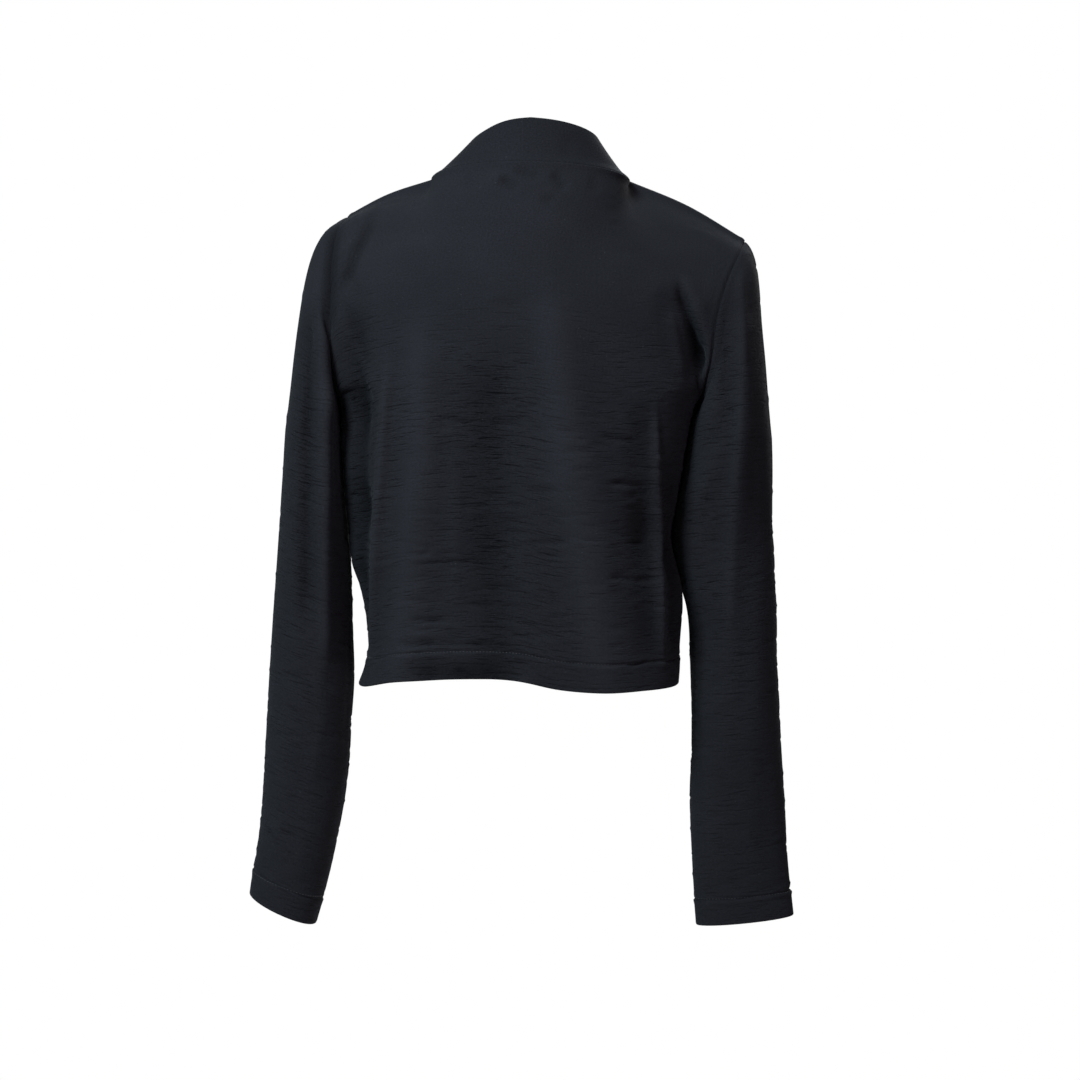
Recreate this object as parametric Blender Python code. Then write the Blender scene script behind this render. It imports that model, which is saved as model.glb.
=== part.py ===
"""A cropped, open-front cardigan in fine black knit, filled out as on a general figure and hollow.

Metres, +Z up. X points to the wearer's left and Y to the wearer's back. The origin is the middle
of the neck, level with the points where the shoulder seams meet the collar band.

Every piece is a grid of outer points, worked out from the tables below, with a wall grown inwards.
Rows of a body panel run from the hem to the shoulder, and columns run round the body.
"""

from collections import namedtuple

import bmesh
import bpy
import numpy as np

# Cloth
PANEL_WALL = 0.0015
TURNED_WALL = 0.0024
BAND_WALL = 0.0024
SEAM_GAP = 0.0003
HEM_DEPTH = 0.025
CUFF_DEPTH = 0.024

# Body
MIDDLE_X = 0.002
SIDE_SEAM_Y = -0.003
HEM_HEIGHT = -0.462
UNDERARM_HEIGHT = -0.208
SLEEVE_LIES_ON_BODY = -0.345
SLEEVE_HANGS_FREE = -0.420
BACK_SQUARENESS = 3.0
FRONT_SQUARENESS = 2.4
NECK_SQUARENESS = 2.2
SLEEVE_SQUARENESS = 2.1
FLAT_SQUARENESS = 3.4

# How the upper back and fronts change with height, by share of the armhole's length: the blades
# are fully bowed at BLADES_FULL, the yoke takes on the shoulder line above YOKE_STARTS, and the
# fronts have left the line of the body at FRONTS_TURN
BLADE_BOW = 2.2
BLADES_FULL = 0.40
YOKE_STARTS = 0.35
FRONTS_TURN = 0.50
NECK_CORNER = 0.6
CORNER_LEAST = 0.001
CORNER_FADE = 0.25

# How finely each piece is divided
SHOULDER_COLUMNS = 12
NECK_COLUMNS = 16
BODY_ROWS = 9
ARMHOLE_ROWS = 12
CAP_ROWS = 7
TUBE_ROWS = 13
BAND_COLUMNS = 3
TURNED_ROWS = (0.0, 0.5, 0.94, 1.04)

# Girth of the body at each height: where the side seams, centre back and front stand
BodyRow = namedtuple("BodyRow", "height left right back front")
BODY = (
    BodyRow(-0.465, 0.1515, -0.1430, 0.0950, -0.1200),
    BodyRow(-0.448, 0.1455, -0.1440, 0.0945, -0.1210),
    BodyRow(-0.430, 0.1425, -0.1440, 0.0940, -0.1220),
    BodyRow(-0.411, 0.1440, -0.1450, 0.0940, -0.1235),
    BodyRow(-0.392, 0.1472, -0.1460, 0.0945, -0.1250),
    BodyRow(-0.374, 0.1518, -0.1448, 0.0950, -0.1260),
    BodyRow(-0.355, 0.1588, -0.1400, 0.0955, -0.1270),
    BodyRow(-0.326, 0.1625, -0.1340, 0.0965, -0.1290),
    BodyRow(-0.300, 0.1660, -0.1378, 0.0970, -0.1310),
    BodyRow(-0.250, 0.1705, -0.1452, 0.0975, -0.1320),
    BodyRow(-0.208, 0.1710, -0.1520, 0.0970, -0.1270),
)

# Hem edge of the back, by share of the way from the left side seam to the right one
HemPoint = namedtuple("HemPoint", "share height")
BACK_HEM = (
    HemPoint(0.00, -0.4650),
    HemPoint(0.13, -0.4665),
    HemPoint(0.22, -0.4610),
    HemPoint(0.38, -0.4555),
    HemPoint(0.50, -0.4565),
    HemPoint(0.58, -0.4628),
    HemPoint(0.67, -0.4655),
    HemPoint(0.78, -0.4635),
    HemPoint(1.00, -0.4590),
)

# Hem edge of each front, from its side seam to the band
FRONT_HEM = {
    "left": (HemPoint(0.0, -0.4650), HemPoint(0.4, -0.4600), HemPoint(1.0, -0.4625)),
    "right": (HemPoint(0.0, -0.4590), HemPoint(0.5, -0.4635), HemPoint(1.0, -0.4615)),
}

# Armhole seams, from the underarm up to the tip of the shoulder, on the back and on the front
SeamPoint = namedtuple("SeamPoint", "x y z")
BACK_ARMHOLE = {
    "left": (
        SeamPoint(0.171, -0.003, -0.208),
        SeamPoint(0.174, 0.032, -0.199),
        SeamPoint(0.177, 0.056, -0.166),
        SeamPoint(0.179, 0.060, -0.120),
        SeamPoint(0.180, 0.044, -0.077),
        SeamPoint(0.177, 0.019, -0.046),
        SeamPoint(0.170, -0.005, -0.035),
    ),
    "right": (
        SeamPoint(-0.152, -0.003, -0.208),
        SeamPoint(-0.157, 0.033, -0.196),
        SeamPoint(-0.164, 0.056, -0.165),
        SeamPoint(-0.169, 0.059, -0.127),
        SeamPoint(-0.179, 0.043, -0.093),
        SeamPoint(-0.192, 0.018, -0.064),
        SeamPoint(-0.198, -0.005, -0.051),
    ),
}
FRONT_ARMHOLE = {
    "left": (
        SeamPoint(0.171, -0.003, -0.208),
        SeamPoint(0.168, -0.038, -0.197),
        SeamPoint(0.167, -0.061, -0.161),
        SeamPoint(0.169, -0.064, -0.117),
        SeamPoint(0.172, -0.050, -0.077),
        SeamPoint(0.173, -0.027, -0.046),
        SeamPoint(0.170, -0.005, -0.035),
    ),
    "right": (
        SeamPoint(-0.152, -0.003, -0.208),
        SeamPoint(-0.153, -0.037, -0.196),
        SeamPoint(-0.159, -0.060, -0.165),
        SeamPoint(-0.167, -0.063, -0.127),
        SeamPoint(-0.179, -0.049, -0.093),
        SeamPoint(-0.191, -0.028, -0.064),
        SeamPoint(-0.198, -0.005, -0.051),
    ),
}

# Shoulder seams, from the tip of the shoulder to the neck
SHOULDER = {
    "left": (
        SeamPoint(0.170, -0.005, -0.035),
        SeamPoint(0.134, -0.004, -0.0155),
        SeamPoint(0.092, -0.002, -0.001),
    ),
    "right": (
        SeamPoint(-0.198, -0.005, -0.051),
        SeamPoint(-0.142, -0.004, -0.0225),
        SeamPoint(-0.089, -0.002, 0.001),
    ),
}

# Centre back, from the underarm level over the shoulder blades to the neck seam
CENTRE_BACK = (
    SeamPoint(MIDDLE_X, 0.097, -0.208),
    SeamPoint(MIDDLE_X, 0.099, -0.160),
    SeamPoint(MIDDLE_X, 0.097, -0.110),
    SeamPoint(MIDDLE_X, 0.088, -0.055),
    SeamPoint(MIDDLE_X, 0.068, 0.004),
)

# Edge of each front where the band is sewn on, from the hem to the neck. x is for the left.
FRONT_EDGE = (
    SeamPoint(0.086, -0.112, -0.462),
    SeamPoint(0.082, -0.116, -0.400),
    SeamPoint(0.077, -0.121, -0.330),
    SeamPoint(0.074, -0.126, -0.260),
    SeamPoint(0.074, -0.122, -0.208),
    SeamPoint(0.075, -0.110, -0.155),
    SeamPoint(0.079, -0.088, -0.100),
    SeamPoint(0.085, -0.056, -0.050),
    SeamPoint(0.090, -0.028, -0.019),
    SeamPoint(0.092, -0.002, -0.001),
)

# Step from the band's seam to its free edge, down the fronts by the seam's height
BandStep = namedtuple("BandStep", "at inward back up")
FRONT_BAND = (
    BandStep(-0.462, 0.047, -0.007, 0.000),
    BandStep(-0.300, 0.047, -0.007, 0.000),
    BandStep(-0.208, 0.047, -0.007, 0.003),
    BandStep(-0.150, 0.046, -0.010, 0.008),
    BandStep(-0.100, 0.043, -0.014, 0.014),
    BandStep(-0.050, 0.038, -0.016, 0.019),
    BandStep(-0.019, 0.034, -0.012, 0.023),
    BandStep(-0.001, 0.031, -0.008, 0.027),
)

# The same step round the back of the neck, by share of the way from the shoulder to the centre
NECK_BAND = {
    "left": (
        BandStep(0.00, 0.031, -0.008, 0.027),
        BandStep(0.25, 0.028, -0.012, 0.031),
        BandStep(0.50, 0.022, -0.013, 0.036),
        BandStep(0.75, 0.012, -0.013, 0.041),
        BandStep(1.00, 0.000, -0.013, 0.043),
    ),
    "right": (
        BandStep(0.00, 0.030, -0.006, 0.026),
        BandStep(0.25, 0.023, -0.009, 0.034),
        BandStep(0.50, 0.015, -0.012, 0.0385),
        BandStep(0.75, 0.008, -0.013, 0.0415),
        BandStep(1.00, 0.000, -0.013, 0.043),
    ),
}

# Sleeves below the underarm. inner and outer are distances from the middle plane, and tilt is how
# far the ring rises at its outer side.
SleeveRow = namedtuple("SleeveRow", "height inner outer front back tilt")
SLEEVE = {
    "left": (
        SleeveRow(-0.235, 0.1735, 0.2218, -0.062, 0.066, 0.000),
        SleeveRow(-0.300, 0.1685, 0.2255, -0.060, 0.062, 0.000),
        SleeveRow(-0.355, 0.1628, 0.2285, -0.056, 0.057, 0.000),
        SleeveRow(-0.392, 0.1598, 0.2307, -0.053, 0.053, 0.000),
        SleeveRow(-0.430, 0.1578, 0.2326, -0.050, 0.050, 0.000),
        SleeveRow(-0.466, 0.1568, 0.2340, -0.048, 0.047, 0.000),
        SleeveRow(-0.504, 0.1587, 0.2352, -0.046, 0.044, 0.000),
        SleeveRow(-0.541, 0.1600, 0.2365, -0.044, 0.041, 0.000),
        SleeveRow(-0.578, 0.1638, 0.2380, -0.041, 0.038, 0.002),
        SleeveRow(-0.615, 0.1708, 0.2410, -0.038, 0.036, 0.006),
        SleeveRow(-0.650, 0.1795, 0.2455, -0.035, 0.034, 0.011),
        SleeveRow(-0.6765, 0.1872, 0.2483, -0.033, 0.033, 0.0135),
    ),
    "right": (
        SleeveRow(-0.235, 0.1490, 0.2245, -0.060, 0.062, 0.000),
        SleeveRow(-0.275, 0.1440, 0.2266, -0.054, 0.056, 0.000),
        SleeveRow(-0.310, 0.1380, 0.2280, -0.047, 0.049, 0.000),
        SleeveRow(-0.326, 0.1360, 0.2293, -0.046, 0.047, 0.000),
        SleeveRow(-0.362, 0.1440, 0.2315, -0.047, 0.047, 0.000),
        SleeveRow(-0.400, 0.1520, 0.2337, -0.047, 0.047, 0.000),
        SleeveRow(-0.440, 0.1547, 0.2347, -0.046, 0.046, 0.000),
        SleeveRow(-0.477, 0.1568, 0.2370, -0.044, 0.044, 0.000),
        SleeveRow(-0.515, 0.1578, 0.2393, -0.041, 0.041, 0.000),
        SleeveRow(-0.570, 0.1568, 0.2438, -0.032, 0.034, 0.000),
        SleeveRow(-0.615, 0.1593, 0.2472, -0.026, 0.029, 0.002),
        SleeveRow(-0.650, 0.1620, 0.2508, -0.021, 0.024, 0.004),
        SleeveRow(-0.679, 0.1648, 0.2543, -0.018, 0.021, 0.0055),
    ),
}

# How a sleeve leaves the armhole: direction and reach at the underarm, the sides and the tip
CapLeave = namedtuple("CapLeave", "around outward down reach")
CAP = {
    "left": (
        CapLeave(0.0, 0.50, 0.85, 0.008),
        CapLeave(0.5, 0.85, 0.50, 0.018),
        CapLeave(1.0, 0.94, 0.33, 0.043),
    ),
    "right": (
        CapLeave(0.0, 0.50, 0.85, 0.008),
        CapLeave(0.5, 0.85, 0.50, 0.017),
        CapLeave(1.0, 0.84, 0.54, 0.025),
    ),
}
CAP_SETTLE = 0.55
CAP_FLARE = 0.075

# Largest folds of the back, each a soft ridge (or a trough, below zero) along a straight line
Fold = namedtuple("Fold", "start end width height")
BACK_FOLDS = {
    "centre trough": Fold((0.040, 0.097, -0.190), (0.040, 0.093, -0.440), 0.040, -0.0045),
    "right of centre": Fold((-0.030, 0.098, -0.150), (-0.080, 0.092, -0.400), 0.022, 0.0035),
    "left turn": Fold((0.122, 0.088, -0.170), (0.134, 0.070, -0.420), 0.014, 0.0030),
    "right turn": Fold((-0.108, 0.085, -0.225), (-0.124, 0.070, -0.440), 0.013, 0.0030),
    "into right armhole": Fold((-0.122, 0.085, -0.100), (-0.158, 0.052, -0.200), 0.014, -0.0090),
}
FOLD_END = 0.28

# Pressed crease down the rear of each sleeve, by height
SleeveCrease = namedtuple("SleeveCrease", "height out width rise")
SLEEVE_CREASE = {
    "left": (
        SleeveCrease(-0.120, 0.188, 0.010, 0.002),
        SleeveCrease(-0.210, 0.184, 0.011, 0.004),
        SleeveCrease(-0.330, 0.188, 0.014, 0.003),
        SleeveCrease(-0.420, 0.192, 0.016, 0.000),
    ),
    "right": (
        SleeveCrease(-0.110, 0.198, 0.010, 0.002),
        SleeveCrease(-0.200, 0.196, 0.011, 0.005),
        SleeveCrease(-0.350, 0.188, 0.014, 0.004),
        SleeveCrease(-0.480, 0.186, 0.016, 0.000),
    ),
}

# Black merino: base colour, roughness and metallic value
BLACK_KNIT = ((0.012, 0.013, 0.016, 1.0), 0.9, 0.0)

SIGN = {"left": 1.0, "right": -1.0}
CURVE_STEPS = 241
SAME_POINT_DIGITS = 6
TINY = 1e-12
LEAST_SPAN = 1e-6


def smooth(knots, values, at):
    """A smooth curve through the values at the knots, read at other places."""
    knots = np.asarray(knots, float)
    values = np.asarray(values, float)
    slopes = np.gradient(values, knots, axis=0)
    at = np.clip(np.asarray(at, float), knots[0], knots[-1])
    left = np.clip(np.searchsorted(knots, at, side="right") - 1, 0, len(knots) - 2)
    span = knots[left + 1] - knots[left]
    share = (at - knots[left]) / span
    if values.ndim > 1:
        span = span[..., None]
        share = share[..., None]
    rise = values[left + 1] - values[left]
    start = slopes[left] * span
    end = slopes[left + 1] * span
    return (
        values[left]
        + start * share
        + (3 * rise - 2 * start - end) * share**2
        + (start + end - 2 * rise) * share**3
    )


def read_table(table, at):
    """The columns of a table after its first, at places along the first."""
    rows = np.array(table)
    return smooth(rows[:, 0], rows[:, 1:], at)


def ease(share):
    """0 to 1 with level ends."""
    share = np.clip(share, 0.0, 1.0)
    return share * share * (3 - 2 * share)


def unit(vectors):
    """The same directions with length one."""
    return vectors / np.maximum(np.linalg.norm(vectors, axis=-1, keepdims=True), TINY)


def lengths_along(points):
    """Distance of each point from the first, along the points."""
    steps = np.linalg.norm(np.diff(points, axis=0), axis=1)
    return np.concatenate(([0.0], np.cumsum(steps)))


def seam_line(seam, shares):
    """Points at shares of the length of a smooth seam through its named points."""
    points = np.array(seam)
    knots = lengths_along(points)
    fine = smooth(knots, points, np.linspace(0.0, knots[-1], CURVE_STEPS))
    along = lengths_along(fine)
    return np.stack([np.interp(np.asarray(shares) * along[-1], along, fine[:, i]) for i in range(3)], 1)


def quarter(width, depth, squareness):
    """A rounded quarter turn from (0, depth) to (width, 0), as fine points and their lengths."""
    angle = np.linspace(0.0, np.pi / 2, CURVE_STEPS)
    x = width * np.sin(angle) ** (2 / squareness)
    y = depth * np.clip(np.cos(angle), 0.0, 1.0) ** (2 / squareness)
    points = np.stack([x, y], 1)
    return points, lengths_along(points)


def quarter_at(width, depth, squareness, shares):
    """Points at shares of a rounded quarter turn's length."""
    points, along = quarter(width, depth, squareness)
    at = np.asarray(shares) * along[-1]
    return np.stack([np.interp(at, along, points[:, i]) for i in range(2)], 1)


def row_rises():
    """How far each row of the lower body stands above the hem."""
    turned = [HEM_DEPTH * share for share in TURNED_ROWS]
    body = np.linspace(turned[-1], UNDERARM_HEIGHT - HEM_HEIGHT, BODY_ROWS + 1)[1:]
    return np.array(turned + list(body))


def armhole_shares():
    """Shares of the armhole's length at its rows above the underarm."""
    return np.linspace(0.0, 1.0, ARMHOLE_ROWS + 1)[1:]


def back_row(height):
    """The back's row at one height, from the left side seam to the right one, in plan."""
    left, right, back, _ = read_table(BODY, [height])[0]
    depth = back - SIDE_SEAM_Y
    half = SHOULDER_COLUMNS + NECK_COLUMNS // 2
    shares = np.linspace(0.0, 1.0, half + 1)
    to_left = quarter_at(left - MIDDLE_X, depth, BACK_SQUARENESS, shares)
    to_right = quarter_at(MIDDLE_X - right, depth, BACK_SQUARENESS, shares)
    x = np.concatenate((MIDDLE_X + to_left[::-1, 0], MIDDLE_X - to_right[1:, 0]))
    y = np.concatenate((to_left[::-1, 1], to_right[1:, 1])) + SIDE_SEAM_Y
    return np.stack([x, y], 1)


def front_row(side, height):
    """A front's row at one height, from its side seam to the band, in plan."""
    left, right, _, front = read_table(BODY, [height])[0]
    width = left - MIDDLE_X if side == "left" else MIDDLE_X - right
    points, along = quarter(width, SIDE_SEAM_Y - front, FRONT_SQUARENESS)
    edge = read_table([(p.z, p.x) for p in FRONT_EDGE], [height])[0, 0] - MIDDLE_X
    from_centre = np.interp(edge, points[:, 0], along)
    at = np.linspace(along[-1], from_centre, SHOULDER_COLUMNS + 1)
    x = np.interp(at, along, points[:, 0])
    y = np.interp(at, along, points[:, 1])
    return np.stack([MIDDLE_X + SIGN[side] * x, SIDE_SEAM_Y - y], 1)


def lower_body(rows_in_plan, hem):
    """Rows from the hem to the underarm, each at its height with the hem's dips faded upwards."""
    rises = row_rises()
    full = UNDERARM_HEIGHT - HEM_HEIGHT
    columns = rows_in_plan[0].shape[0]
    hem_heights = read_table(hem, np.linspace(0.0, 1.0, columns))[:, 0]
    grid = np.zeros((len(rises), columns, 3))
    for row, rise in enumerate(rises):
        grid[row, :, :2] = rows_in_plan[row]
        grid[row, :, 2] = hem_heights + (UNDERARM_HEIGHT - hem_heights) * rise / full
    return grid


def back_neck(shares):
    """The neck seam of the back at shares from the left shoulder to the right one."""
    left = np.array(SHOULDER["left"][-1])
    right = np.array(SHOULDER["right"][-1])
    centre = np.array(CENTRE_BACK[-1])
    points = []
    for share in shares:
        side = left if share <= 0.5 else right
        turned = quarter_at(1.0, 1.0, NECK_SQUARENESS, [abs(2 * share - 1)])[0]
        drop = 1 - turned[1]
        points.append(
            (
                centre[0] + (side[0] - centre[0]) * turned[0],
                centre[1] + (side[1] - centre[1]) * drop,
                centre[2] + (side[2] - centre[2]) * turned[0] ** 2,
            )
        )
    return np.array(points)


def back_top():
    """The top edge of the back: left shoulder seam, neck seam, right shoulder seam."""
    shoulder = np.linspace(0.0, 1.0, SHOULDER_COLUMNS + 1)
    return np.concatenate(
        (
            seam_line(SHOULDER["left"], shoulder),
            back_neck(np.linspace(0.0, 1.0, NECK_COLUMNS + 1))[1:-1],
            seam_line(SHOULDER["right"], shoulder)[::-1],
        )
    )


def shares_between(points, start, end):
    """Each coordinate's share of the way from one point to another."""
    span = end - start
    span = np.where(np.abs(span) < LEAST_SPAN, LEAST_SPAN, span)
    return (points - start) / span


def soften(profile, reach):
    """A profile with its corners rounded, except at its two ends."""
    places = np.linspace(0.0, 1.0, len(profile))
    weights = np.exp(-(((places[:, None] - places[None, :]) / reach) ** 2))
    rounded = weights @ profile / weights.sum(1, keepdims=True)
    inside = ease(places / CORNER_FADE) * ease((1 - places) / CORNER_FADE)
    return profile + (rounded - profile) * inside[:, None]


def back_half(side, ring, top):
    """Rows of one half of the back above the underarm, each from the centre to the armhole."""
    low = shares_between(ring, ring[0], ring[-1])
    sharp = shares_between(top, top[0], top[-1])
    bowed = low[:, 0] ** BLADE_BOW
    rows = []
    for share in armhole_shares():
        centre = seam_line(CENTRE_BACK, [share])[0]
        edge = seam_line(BACK_ARMHOLE[side], [share])[0]
        blade = ease(share / BLADES_FULL)
        yoke = ease((share - YOKE_STARTS) / (1 - YOKE_STARTS))
        high = soften(sharp, NECK_CORNER * (1 - share) + CORNER_LEAST)
        flat = np.stack(
            (
                low[:, 0],
                low[:, 1] + (bowed - low[:, 1]) * blade,
                bowed,
            ),
            1,
        )
        mix = flat + (high - flat) * yoke
        rows.append(centre + (edge - centre) * mix)
    return np.array(rows)


def back_grid():
    """Outer points of the back."""
    heights = HEM_HEIGHT + row_rises()
    low = lower_body([back_row(height) for height in heights], BACK_HEM)
    top = back_top()
    half = SHOULDER_COLUMNS + NECK_COLUMNS // 2
    left = back_half("left", low[-1, half::-1], top[half::-1])
    right = back_half("right", low[-1, half:], top[half:])
    high = np.concatenate((left[:, ::-1], right[:, 1:]), 1)
    return np.concatenate((low, high))


def front_edge_line(side, shares):
    """The sewn edge of a front above the underarm, up to the neck."""
    upper = [p for p in FRONT_EDGE if p.z >= UNDERARM_HEIGHT]
    line = seam_line(upper, shares)
    neck = np.array(SHOULDER[side][-1])
    line[:, 0] = MIDDLE_X + SIGN[side] * (line[:, 0] - MIDDLE_X)
    line += (neck - line[-1]) * ease(np.asarray(shares))[:, None]
    return line


def front_grid(side):
    """Outer points of a front, from its side seam and armhole to the band."""
    heights = HEM_HEIGHT + row_rises()
    low = lower_body([front_row(side, height) for height in heights], FRONT_HEM[side])
    ring = low[-1]
    top = seam_line(SHOULDER[side], np.linspace(0.0, 1.0, SHOULDER_COLUMNS + 1))
    at_ring = shares_between(ring, ring[0], ring[-1])
    at_top = shares_between(top, top[0], top[-1])
    at_ring[:, 2] = np.linspace(0.0, 1.0, SHOULDER_COLUMNS + 1)
    shares = armhole_shares()
    edges = front_edge_line(side, shares)
    offset = ring[-1] - front_edge_line(side, [0.0])[0]
    edges += offset * (1 - ease(shares / FRONTS_TURN))[:, None]
    rows = []
    for share, edge in zip(shares, edges):
        armhole = seam_line(FRONT_ARMHOLE[side], [share])[0]
        mix = at_ring + (at_top - at_ring) * ease(share)
        rows.append(armhole + (edge - armhole) * mix)
    return np.concatenate((low, np.array(rows)))


def sleeve_ring(side, row):
    """A closed ring of the sleeve, from the underarm line round the back to the outer side."""
    height, inner, outer, front, back, tilt = row
    width = (outer - inner) / 2
    middle = (outer + inner) / 2
    level = (front + back) / 2
    depth = (back - front) / 2
    shares = np.linspace(0.0, 1.0, ARMHOLE_ROWS // 2 + 1)
    lying = ease((height - SLEEVE_HANGS_FREE) / (SLEEVE_LIES_ON_BODY - SLEEVE_HANGS_FREE))
    flat = SLEEVE_SQUARENESS + (FLAT_SQUARENESS - SLEEVE_SQUARENESS) * lying
    inside = quarter_at(width, depth, flat, shares)
    outside = quarter_at(width, depth, SLEEVE_SQUARENESS, shares)
    across = np.concatenate((-inside[::-1, 0], outside[1:, 0], outside[-2::-1, 0], -inside[1:-1, 0]))
    deep = np.concatenate((inside[::-1, 1], outside[1:, 1], -outside[-2::-1, 1], -inside[1:-1, 1]))
    x = SIGN[side] * (middle + across)
    z = height + tilt * across / width
    return np.stack([x, level + deep, z], 1)


def sleeve_heights(side):
    """Heights of the sleeve's rings below the underarm, the turned cuff last."""
    top = SLEEVE[side][0].height
    bottom = SLEEVE[side][-1].height
    turned = [bottom + CUFF_DEPTH * share for share in TURNED_ROWS]
    tube = np.linspace(top, turned[-1], TUBE_ROWS + 1)
    return list(tube) + turned[-2::-1]


def sleeve_grid(side, armhole):
    """Outer points of a sleeve: rings from the armhole seam down to the cuff."""
    table = [tuple(row) for row in SLEEVE[side]][::-1]
    rings = []
    for height in sleeve_heights(side):
        values = read_table(table, [height])[0]
        rings.append(sleeve_ring(side, (height, *values)))
    tube = np.array(rings)
    count = armhole.shape[0]
    around = 1 - np.abs(np.linspace(0.0, 2.0, count + 1)[:-1] - 1)
    leave = read_table(CAP[side], around)
    outward = np.stack([SIGN[side] * leave[:, 0], np.zeros(count), -leave[:, 1]], 1)
    leaving = armhole + unit(outward) * leave[:, 2:3]
    fall = armhole[:, 2] - tube[0, :, 2]
    settling = tube[0] + np.stack(
        [
            -SIGN[side] * CAP_FLARE * fall * around,
            np.zeros(count),
            CAP_SETTLE * fall,
        ],
        1,
    )
    cap = []
    for share in np.linspace(0.0, 1.0, CAP_ROWS + 1)[:-1]:
        rest = 1 - share
        cap.append(
            rest**3 * armhole
            + 3 * rest**2 * share * leaving
            + 3 * rest * share**2 * settling
            + share**3 * tube[0]
        )
    return np.concatenate((np.array(cap), tube))


def band_steps(side, seam, round_neck):
    """The step from the seam to the free edge at each point of the band's seam."""
    if round_neck is None:
        steps = read_table(FRONT_BAND, seam[:, 2])
        blend = ease((seam[:, 2] - FRONT_BAND[-3].at) / (FRONT_BAND[-1].at - FRONT_BAND[-3].at))
        meet = np.array(NECK_BAND[side][0][1:]) - np.array(FRONT_BAND[-1][1:])
        steps = steps + blend[:, None] * meet
    else:
        steps = read_table(NECK_BAND[side], round_neck)
    return np.stack([-SIGN[side] * steps[:, 0], steps[:, 1], steps[:, 2]], 1)


def band_grid(front_left, front_right, back):
    """Outer points of the band: up the left front, round the neck and down the right front."""
    neck = back[-1, SHOULDER_COLUMNS:-SHOULDER_COLUMNS]
    half = NECK_COLUMNS // 2
    to_centre = np.linspace(0.0, 1.0, half + 1)
    left_seam = front_left[:, -1]
    right_seam = front_right[::-1, -1]
    seam = np.concatenate((left_seam, neck[1:-1], right_seam))
    steps = np.concatenate(
        (
            band_steps("left", left_seam, None),
            band_steps("left", neck[1 : half + 1], to_centre[1:]),
            band_steps("right", neck[half + 1 : -1], to_centre[-2:0:-1]),
            band_steps("right", right_seam, None),
        )
    )
    shares = np.linspace(0.0, 1.0, BAND_COLUMNS + 1)
    return seam[:, None] + steps[:, None] * shares[None, :, None]


def facing(grid, wraps, sign):
    """Outward directions of a grid's points."""
    if wraps:
        padded = np.concatenate((grid[:, -1:], grid, grid[:, :1]), 1)
        across = (padded[:, 2:] - padded[:, :-2]) / 2
    else:
        across = np.gradient(grid, axis=1)
    return unit(np.cross(np.gradient(grid, axis=0), across)) * sign


def share_facings(pieces):
    """Points that pieces share at a seam get one common outward direction."""
    total = {}
    for piece in pieces.values():
        keys = np.round(piece["grid"].reshape(-1, 3), SAME_POINT_DIGITS)
        for key, direction in zip(map(tuple, keys), piece["facing"].reshape(-1, 3)):
            total[key] = total.get(key, np.zeros(3)) + direction
    for piece in pieces.values():
        keys = np.round(piece["grid"].reshape(-1, 3), SAME_POINT_DIGITS)
        common = np.array([total[tuple(key)] for key in keys])
        piece["facing"] = unit(common).reshape(piece["grid"].shape)


def fold_height(fold, points):
    """Rise of one fold at points near it."""
    start = np.array(fold.start)
    along = np.array(fold.end) - start
    from_start = points - start
    share = np.clip(from_start @ along / (along @ along), 0.0, 1.0)
    off = np.linalg.norm(from_start - share[..., None] * along, axis=-1)
    ends = ease(share / FOLD_END) * ease((1 - share) / FOLD_END)
    return fold.height * np.exp(-((off / fold.width) ** 2)) * ends


def crease_height(side, points):
    """Rise of the pressed crease at the rear of a sleeve."""
    table = [tuple(row) for row in SLEEVE_CREASE[side]][::-1]
    out, width, rise = np.moveaxis(read_table(table, points[..., 2]), -1, 0)
    inside = (points[..., 2] > table[0][0]) & (points[..., 2] < table[-1][0])
    off = (SIGN[side] * points[..., 0] - out) / width
    return np.where(inside & (points[..., 1] > 0), rise * np.exp(-(off**2)), 0.0)


def raise_folds(pieces):
    """Moves the outer points of the back and the sleeves to their largest folds."""
    back = pieces["back"]
    rise = sum(fold_height(fold, back["grid"]) for fold in BACK_FOLDS.values())
    edge = np.ones(rise.shape)
    edge[:, 0] = edge[:, -1] = 0.0
    back["grid"] = back["grid"] + back["facing"] * (rise * edge)[..., None]
    for side in ("left", "right"):
        sleeve = pieces["sleeve_" + side]
        rise = crease_height(side, sleeve["grid"])
        rise[0] = 0.0
        sleeve["grid"] = sleeve["grid"] + sleeve["facing"] * rise[..., None]


def drawn_back(edge, inner, along):
    """Step of half a seam gap from an edge towards its inner neighbour, square to the seam."""
    inward = inner - edge
    inward = inward - along * np.sum(inward * along, axis=-1, keepdims=True)
    return unit(inward) * SEAM_GAP / 2


def open_seams(piece):
    """Draws the edges of a piece back from its seams."""
    grid = piece["grid"]
    moved = grid.copy()
    if "first_row" in piece["seams"]:
        along = unit(np.gradient(grid[0], axis=0))
        moved[0] += drawn_back(grid[0], grid[1], along)
    if "last_row" in piece["seams"]:
        along = unit(np.gradient(grid[-1], axis=0))
        moved[-1] += drawn_back(grid[-1], grid[-2], along)
    if "first_column" in piece["seams"]:
        along = unit(np.gradient(grid[:, 0], axis=0))
        moved[:, 0] += drawn_back(grid[:, 0], grid[:, 1], along)
    if "last_column" in piece["seams"]:
        along = unit(np.gradient(grid[:, -1], axis=0))
        moved[:, -1] += drawn_back(grid[:, -1], grid[:, -2], along)
    piece["grid"] = moved


def panel_walls(rows):
    """Wall of each row of a body panel: double where the hem is turned up."""
    walls = np.full(rows, PANEL_WALL)
    walls[: len(TURNED_ROWS) - 1] = TURNED_WALL
    return walls


def sleeve_walls(rows):
    """Wall of each ring of a sleeve: double where the cuff is turned up."""
    return panel_walls(rows)[::-1]


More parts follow.
